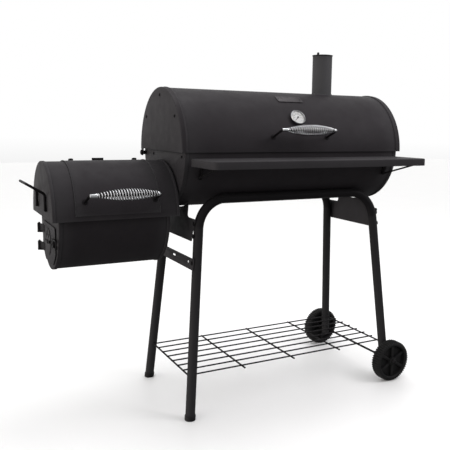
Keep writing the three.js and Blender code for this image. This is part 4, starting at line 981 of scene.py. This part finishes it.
RIVET_X = SHUTTER_X - SHEET - GAP
piece("shutter_rivet_fine", [lathe([(0, 0), (7, 0), (6.9, 0.9), (5.6, 2.0), (3.2, 2.6), (0, 2.8)],
                                   (RIVET_X, VENT_Y, VENT_Z), (-1, 0, 0), 32),
                             lathe([(0, -8.2), (6, -8.2), (6, -6.2), (3, -6.2), (3, 0), (0, 0)],
                                   (RIVET_X, VENT_Y, VENT_Z),
                                   (-1, 0, 0), 24)], "ash_door", HARDWARE, ("shutter_rivet",))

LATCH_X = DOOR_X - GAP - 3
loop = [(LATCH_X, LATCH_Y, LATCH_Z + 12), (LATCH_X, LATCH_Y - 44, LATCH_Z + 12),
        (LATCH_X, LATCH_Y - 44, LATCH_Z - 12), (LATCH_X, LATCH_Y, LATCH_Z - 12)]
boss = [(0, -3), (14.4, -3), (15, -2.4), (15, 2.2), (14, 3), (9, 3), (8, 2.2), (0, 2.2)]
piece("latch_loop", [sweep(rounded(loop, 8, 10), 2.6, 16),
                     lathe(boss, (LATCH_X, LATCH_Y, LATCH_Z), (-1, 0, 0), 40),
                     lathe([(0, 2.2), (4.6, 2.2), (4.4, 3.4), (2.6, 4.3), (0, 4.5)],
                           (LATCH_X, LATCH_Y, LATCH_Z), (-1, 0, 0), 24),
                     lathe([(0, -8.4), (6, -8.4), (6, -6.6), (3, -6.6), (3, -2), (0, -2)],
                           (LATCH_X, LATCH_Y, LATCH_Z),
                           (-1, 0, 0), 24)], "door_latch", HARDWARE, ("door_latch",))

# ---- Lift handle ----
lift_low, lift_high = span("lift_handle")
LIFT_X = lift_high.x - 4
LIFT_FRONT, LIFT_BACK = lift_low.y + 4, lift_high.y - 4
FOOT_Z, TOP_Z = lift_low.z, lift_high.z - 4
BEND_Z = TOP_Z - 31
lift = rounded([(LIFT_X, LIFT_FRONT, FOOT_Z), (LIFT_X, LIFT_FRONT, BEND_Z), (LIFT_X - 50, LIFT_FRONT, TOP_Z),
                (LIFT_X - 50, LIFT_BACK, TOP_Z), (LIFT_X, LIFT_BACK, BEND_Z), (LIFT_X, LIFT_BACK, FOOT_Z)],
               14, 10)
feet = []
for y in (LIFT_FRONT, LIFT_BACK):
    feet.append(prism(round_box(y - 6, FOOT_Z - 1, y + 6, FOOT_Z + 17, 3),
                      lambda u, v, depth: (depth, u, v), hood_low.x - 0.3, hood_low.x - 1.7))
piece("lift_bar", [sweep(lift, 4, 20), *feet], "grill", HARDWARE, ("lift_handle",), sharp=50)

# ---- Stand ----
_, frame_high = span("front_leg_frame")
FRAME_TOP = frame_high.z - LEG_RADIUS + 0.2
FOOT_X, TOP_X = 408, 350
FOOT_Y, TOP_Y = 198.5, 137


def leg_at(end, row, z):
    share = z / FRAME_TOP
    return Vector((end * lerp(FOOT_X, TOP_X, share), row * lerp(FOOT_Y, TOP_Y, share), z))


wheel_low, wheel_high = span("front_wheel")
WHEEL_R = wheel_high.z / 2
WHEEL_HALF = (wheel_high.y - wheel_low.y) / 2
WHEEL_Y = -(wheel_high.y + wheel_low.y) / 2
AXLE_X = middle("front_wheel").x
for name, row in (("front", -1), ("rear", 1)):
    path = rounded([leg_at(-1, row, 6), leg_at(-1, row, FRAME_TOP), leg_at(1, row, FRAME_TOP),
                    leg_at(1, row, WHEEL_R - 22)],
                   LEG_BEND, 20)
    piece(f"{name}_legs", [sweep(path, LEG_RADIUS, 40)], "grill", SHADED_LEG_PAINT, (f"{name}_leg_frame",), sharp=60)
    cap_rows = []
    for radius, z in ((15.4, 0.0), (17.2, 0.3), (18.0, 1.6), (18.1, 12.5), (17.9, 15.2), (17.3, 16.0),
                      (16.3, 16.1)):
        cap_rows.append([leg_at(-1, row, z) + Vector((*p, 0)) for p in circle(0, 0, radius)])
    piece(f"{name}_foot", [closed(cap_rows)], "grill", PLASTIC, (f"{name}_foot_cap",))

SLOPE = (FOOT_X - TOP_X) / FRAME_TOP
BESIDE = LEG_RADIUS + GAP
LEG_FACE = FOOT_X + BESIDE * math.hypot(1, SLOPE)


def lean(end, out=0.0):
    """Maps (y, z) to the plane on the outside of the legs."""
    return lambda u, v: (end * (LEG_FACE + out - SLOPE * v), u, v)


apron_low, _ = span("left_apron")
APRON_SHOULDER = apron_low.z + 74
for name, end in (("left", -1), ("right", 1)):
    low_y = -leg_at(1, -1, apron_low.z).y + 10
    high_y = -leg_at(1, -1, APRON_SHOULDER).y + 10
    saddle_line = []
    for i in range(41):
        y = lerp(88, -88, i / 40)
        saddle_line.append((y, RIM - (BODY_B + 0.8) * math.sqrt(1 - (y / (BODY_A + 0.8)) ** 2)))
    outline = fillet([(-low_y, apron_low.z, 6), (low_y, apron_low.z, 6), (high_y, APRON_SHOULDER, 5),
                      (88, APRON_SHOULDER, 12), (88, saddle_line[0][1], 0)], 6) + saddle_line[1:-1]
    outline += fillet([(-88, saddle_line[-1][1], 0), (-88, APRON_SHOULDER, 12), (-high_y, APRON_SHOULDER, 5),
                       (-high_y - 5, APRON_SHOULDER - 20, 0)], 6)[:-1]
    piece(f"{name}_apron_plate", [sheet_of([outline], lean(end, SHEET))], "grill", PAINT, (f"{name}_apron",),
          wall=SHEET, bevel=0.4, inside=(0, 0, 500))

bolts = []
for end in (-1, 1):
    for row in (-1, 1):
        for z in (apron_low.z + 18, APRON_SHOULDER - 16):
            at = leg_at(end, row, z)
            at.x = end * (LEG_FACE + SHEET - SLOPE * z)
            bolts.append(bolt_head(at, (end, 0, SLOPE), 5.5, 3.0))
bar_low, bar_high = span("left_cross_bar")
MIDDLE_BAR = bar_low.z + 0.6 * (bar_high.z - bar_low.z)
for row in (-1, 1):
    at = leg_at(-1, row, MIDDLE_BAR)
    at.x = -(LEG_FACE + SHEET - SLOPE * at.z)
    bolts.append(bolt_head(at, (-1, 0, SLOPE), 5.5, 3.0))
piece("stand_bolts", bolts, "grill", HARDWARE)

half = bar_high.y
handle_hole = round_box(-12, MIDDLE_BAR - 3, 12, MIDDLE_BAR + 3, 2.5)
holes = [handle_hole, circle(-123, MIDDLE_BAR, 4.5, 24), circle(123, MIDDLE_BAR, 4.5, 24)]
web = fillet([(-half, bar_low.z, 5), (half, bar_low.z, 5), (half, bar_high.z, 2), (-half, bar_high.z, 2)])
bar_web = sheet_of([web, *holes], lean(-1, SHEET))
piece("cross_bar_web", [bar_web], "grill", PAINT, ("left_cross_bar",), wall=SHEET, bevel=0.3,
      inside=(0, 0, 505))
TOP = bar_high.z
edge_x = -(LEG_FACE + SHEET - SLOPE * TOP)
flange = fillet([(edge_x + 0.2, -half + 0.5, 0), (edge_x + 0.2, half - 0.5, 0),
                 (edge_x - 11 + SHEET, half - 0.5, 4), (edge_x - 11 + SHEET, -half + 0.5, 4)])
piece("cross_bar_flange", [prism(flange, lambda u, v, depth: (u, v, depth), TOP - SHEET, TOP - 0.05)],
      "grill", PAINT, bevel=0.3)

# ---- Bottom rack ----
rack_low, rack_high = span("bottom_rack")
RACK_LONG, RACK_CROSS = 4, 5
LONG_Z = rack_high.z - RACK_LONG / 2
CROSS_Z = rack_low.z + RACK_CROSS / 2
leg = leg_at(1, 1, CROSS_Z)
half_width = leg.y - LEG_RADIUS - RACK_LONG / 2 - 3
wires = []
for i in range(8):
    y = lerp(-half_width, half_width, i / 7)
    wires.append(straight((rack_low.x, y, LONG_Z), (rack_high.x, y, LONG_Z), RACK_LONG / 2 + 0.6, 12))
for i in range(5):
    x = lerp(-leg.x, leg.x, i / 4)
    wires.append(straight((x, rack_low.y, CROSS_Z), (x, rack_high.y, CROSS_Z), RACK_CROSS / 2 + 0.5))
piece("rack_wires", wires, "grill", WIRE, ("bottom_rack",))

# ---- Axle and wheels ----
_, axle_high = span("axle")
AXLE_HALF = axle_high.y
SEAT = AXLE_HALF - 8
profile = [(0, -AXLE_HALF), (5.0, -AXLE_HALF), (7.6, -AXLE_HALF + 1), (9, -AXLE_HALF + 4), (9, -SEAT - 0.6),
           (8.4, -SEAT),
           (4, -SEAT), (4, SEAT), (8.4, SEAT), (9, SEAT + 0.6), (9, AXLE_HALF - 4), (7.6, AXLE_HALF - 1),
           (5.0, AXLE_HALF), (0, AXLE_HALF)]
piece("axle_bar", [lathe(profile, (AXLE_X, 0, WHEEL_R), (0, 1, 0), 40)], "grill", WIRE, ("axle",), sharp=50)


def wheel(name, row, body, node):
    """A moulded wheel: a ribbed tread, a dished face with six spokes, and a hub."""
    half = WHEEL_HALF
    hub, rim_r = 15, WHEEL_R - 17
    lugs = 52
    groove_depth = 4.4
    steps = lugs * 4
    at = Vector((AXLE_X, row * WHEEL_Y, WHEEL_R))

    def point(radius, height, angle):
        return at + Vector((radius * math.cos(angle), row * height, radius * math.sin(angle)))

    def turned(profile, sides):
        return grid([[point(r, h, t) for t in around(sides)] for r, h in profile], wrap=True)

    tyre = [(rim_r, -half + 2, 0), (rim_r + 1.2, -half + 0.8, 0), (WHEEL_R - 9.5, -half + 0.4, 0.0),
            (WHEEL_R - 4.2, -half + 1.6, 1), (WHEEL_R - 0.8, -half + 5.0, 1), (WHEEL_R, -half + 7.0, 1),
            (WHEEL_R, half - 7.0, 1), (WHEEL_R - 0.8, half - 5.0, 1), (WHEEL_R - 4.2, half - 1.6, 1),
            (WHEEL_R - 9.5, half - 0.4, 0.0), (rim_r + 1.2, half - 0.8, 0), (rim_r, half - 2, 0),
            (rim_r - 1, 9, 0), (rim_r - 1, -9, 0), (rim_r, -half + 2, 0)]
    rows = []
    for radius, height, depth in tyre:
        row_points = []
        for i in range(steps):
            groove = (0.0, 0.0, 1.0, 1.0)[i % 4]
            row_points.append(point(radius - groove_depth * depth * groove, height,
                                    2 * math.pi * (i + 0.5) / steps))
        rows.append(row_points)
    parts = [grid(rows, wrap=True)]
    web = [(hub - 1, -5), (rim_r - 0.5, -5), (rim_r - 0.5, 5), (hub - 1, 5), (hub - 1, -5)]
    parts.append(turned(web, 96))
    bore = 4.4
    hub_ring = [(bore, -half), (hub - 1, -half), (hub, -half + 1), (hub + 0.8, -5), (hub + 0.8, 5),
                (hub, half - 1), (hub - 1, half), (bore, half), (bore, -half)]
    parts.append(turned(hub_ring, 64))
    for k in range(6):
        turn = 2 * math.pi * k / 6 + math.pi / 6
        outline = [(hub - 2, -4.6), (rim_r + 0.5, -6.6), (rim_r + 0.5, 6.6), (hub - 2, 4.6)]
        for low, high in ((4.5, half - 5.5), (-half + 5.5, -4.5)):
            spoke = []
            for height, narrow in ((low, 1.0 if low > 0 else 0.72), (high, 0.72 if low > 0 else 1.0)):
                spoke.append([point(math.hypot(r, t * narrow), height, turn + math.atan2(t * narrow, r))
                              for r, t in outline])
            parts.append(closed(spoke))
    lip_r = rim_r - 6.5
    lip = [(lip_r, 4.5), (lip_r + 0.4, 9.5), (lip_r + 2.2, 9.5), (lip_r + 2.6, 4.5), (lip_r, 4.5)]
    parts.append(turned(lip, 96))
    piece(name, parts, body, PLASTIC, (node,), bevel=0.35, sharp=42)


wheel("front_tyre", -1, "front_wheel", "front_wheel")
wheel("rear_tyre", 1, "rear_wheel", "rear_wheel")

# ---- Front shelf ----
shelf_low, shelf_high = span("front_shelf")
SHELF_CORNER = 20
corners = fillet([(shelf_low.x, shelf_high.y, 0), (shelf_low.x, shelf_low.y, SHELF_CORNER),
                  (shelf_high.x, shelf_low.y, SHELF_CORNER), (shelf_high.x, shelf_high.y, 0)], 12)
path = []
for first, second in zip(corners, corners[1:]):
    steps = max(1, round(math.dist(first, second) / 60))
    path += [(lerp(first[0], second[0], i / steps), lerp(first[1], second[1], i / steps))
             for i in range(steps)]
path.append(corners[-1])
SHELF_TOP = shelf_high.z
parts = pressed(path, lambda u, v, depth: (u, v, SHELF_TOP - depth), SHELF_TOP - shelf_low.z, 3.0)
piece("shelf_tray", parts, "grill", PAINT, ("front_shelf",), wall=CAP_WALL, bevel=CAP_EDGE,
      inside=(0, (shelf_low.y + shelf_high.y) / 2, 700))
for side in ("left", "right"):
    refine(f"shelf_bracket_{side}", "grill", HARDWARE, 0.5)
    end = -1 if side == "left" else 1
    brace_low, brace_high = span(f"shelf_brace_{side}")
    outer_x = end * (max(abs(brace_low.x), abs(brace_high.x)) - 3)
    inner_x = end * (min(abs(brace_low.x), abs(brace_high.x)))
    hole_y, hole_z = brace_high.y - 3, brace_low.z + 3
    far_y, under = brace_low.y + 3, brace_high.z
    bend = rounded([(inner_x, hole_y, hole_z), (outer_x, hole_y, hole_z), (outer_x, far_y, under - 20),
                    (outer_x, far_y, under)], 5, 8)
    piece(f"shelf_{side}_brace_wire", [sweep(bend, 3, 16)], "grill", WIRE, (f"shelf_brace_{side}",))

# ---- Grates ----
BAR_SHARE = 0.95                # a bar's thickness as a share of its frame's


def grate(name, node, pitch):
    """A welded grate: bars across inside a frame of wire."""
    low, high = span(node)
    middle_z = (low.z + high.z) / 2
    radius = (high.z - low.z) / 2
    count = int((high.x - low.x - 9) / pitch)
    start = (low.x + high.x - count * pitch) / 2
    bars = []
    for i in range(count + 1):
        x = start + i * pitch
        bars.append(straight((x, low.y + 4, middle_z), (x, high.y - 4, middle_z), radius * BAR_SHARE))
    for y in (low.y + 4.5, high.y - 4.5):
        bars.append(straight((low.x, y, middle_z), (high.x, y, middle_z), radius))
    for x in (low.x + radius, high.x - radius):
        bars.append(straight((x, low.y + 2, middle_z), (x, high.y - 2, middle_z), radius))
    piece(name, bars, "grill", IRON, (node,))


for name, node, pitch in (("cook_bars_left", "cooking_grate_left", 13), ("cook_bars_right",
                                                                         "cooking_grate_right", 13),
                          ("coal_bars", "charcoal_grate", 20), ("fire_bars", "firebox_grate", 20)):
    grate(name, node, pitch)
for node in ("grate_ledge_front", "grate_ledge_rear"):
    refine(node, "grill", PAINT, 0.4)

# ---- Bolts and hinges whose own shapes are kept ----
for node in ("lid_hinge_bolt_left", "lid_hinge_bolt_right", "firebox_hinge_left", "firebox_hinge_right",
             "firebox_lid_stop", "door_hinge_lower", "door_hinge_upper"):
    refine(node, "grill", HARDWARE, 0.4)

# ---- Floor, light and camera ----
SKY = 1.2                       # brightness overhead, where the horizon is 1
LEFT = (2.5, 2.38, 2.26, 1)     # towards the left end
FRONT = 0.72                    # towards the front
GROUND = 0.20                   # below
LOW_LEFT = (1.5, 1.43, 1.36, 1) # and below on the left


floor_mesh = bpy.data.meshes.new("floor")
SIZE = 14
floor_mesh.from_pydata([(-SIZE, -SIZE, 0), (SIZE, -SIZE, 0), (SIZE, SIZE, 0), (-SIZE, SIZE, 0)], [],
                       [(0, 1, 2, 3)])
floor = bpy.data.objects.new("floor", floor_mesh)
floor_mesh.materials.append(surface("pale_floor", (3, 3), (0.875, 0.875, 0.875), (0.885, 0.885, 0.885),
                                    (12, 3), (0.38, 0.46), (), [("Specular IOR Level", 0.2)]))
bpy.context.scene.collection.objects.link(floor)
floor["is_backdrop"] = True
floor.visible_glossy = False
floor.visible_diffuse = False

world = bpy.data.worlds.new("studio")
bpy.context.scene.world = world
world.use_nodes = True
sky_tree = world.node_tree
direction = sky_tree.nodes.new("ShaderNodeTexCoord").outputs["Generated"]
split = new_node(sky_tree, "SeparateXYZ", {"Vector": direction})
height = span_value(sky_tree, split.outputs["Z"], 0.0, 1.0, 0.3, 0.9)
sky = mix_colour(sky_tree, height, (1.0, 1.0, 1.0, 1), (SKY, SKY, SKY, 1))
depth = span_value(sky_tree, split.outputs["Z"], 1.0, 0.0, -0.35, -0.02)
frontward = span_value(sky_tree, split.outputs["Y"], 0.0, 1.0, -0.2, -0.7)
sky = mix_colour(sky_tree, frontward, sky, (FRONT, FRONT, FRONT, 1))
leftward = span_value(sky_tree, split.outputs["X"], 0.0, 1.0, -0.68, -0.98)
sky = mix_colour(sky_tree, leftward, sky, LEFT)
low_left = span_value(sky_tree, split.outputs["X"], 0.0, 1.0, -0.45, -0.85)
below = mix_colour(sky_tree, low_left, (GROUND, GROUND, GROUND, 1), LOW_LEFT)
whole = mix_colour(sky_tree, depth, sky, below)
sky_tree.links.new(whole, sky_tree.nodes["Background"].inputs["Color"])
sky_tree.nodes["Background"].inputs["Strength"].default_value = 1.0


def area_light(name, at, target, size, power, colour=(1, 1, 1)):
    light = bpy.data.lights.new(name, "AREA")
    light.shape = "RECTANGLE"
    light.size, light.size_y = size
    light.energy = power
    light.color = colour
    obj = bpy.data.objects.new(name, light)
    obj.location = ORIGIN + Vector(at)
    obj.rotation_euler = (Vector(target) - Vector(at)).to_track_quat("-Z", "Y").to_euler()
    bpy.context.scene.collection.objects.link(obj)


area_light("overhead", (0.2, 0.1, 3.6), (0, 0, 0.3), (1.6, 1.2), 36)
area_light("lid_key", (1.7, -1.6, 2.4), (0.3, 0, 0.9), (1.3, 1.3), 27, (1.0, 0.97, 1.0))

camera_data = bpy.data.cameras.new("camera")
camera = bpy.data.objects.new("camera", camera_data)
bpy.context.scene.collection.objects.link(camera)
bpy.context.scene.camera = camera
YAW, PITCH, ROLL = (math.radians(angle) for angle in (28.16, 7.46, 0.84))
ahead = Vector((math.sin(YAW) * math.cos(PITCH), math.cos(YAW) * math.cos(PITCH), -math.sin(PITCH)))
level = Vector((math.cos(YAW), -math.sin(YAW), 0))
upward = level.cross(ahead)
right = level * math.cos(ROLL) + upward * math.sin(ROLL)
top = upward * math.cos(ROLL) - level * math.sin(ROLL)
turn = Matrix((right, top, -ahead)).transposed()
camera.matrix_world = Matrix.Translation(ORIGIN + Vector((-1.1617, -1.9652, 0.9488))) @ turn.to_4x4()
camera_data.sensor_width = 36
camera_data.lens = 49.62
camera_data.shift_x = -0.0447
camera_data.shift_y = -0.0382
bpy.context.scene.view_settings.view_transform = "Standard"

low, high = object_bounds()
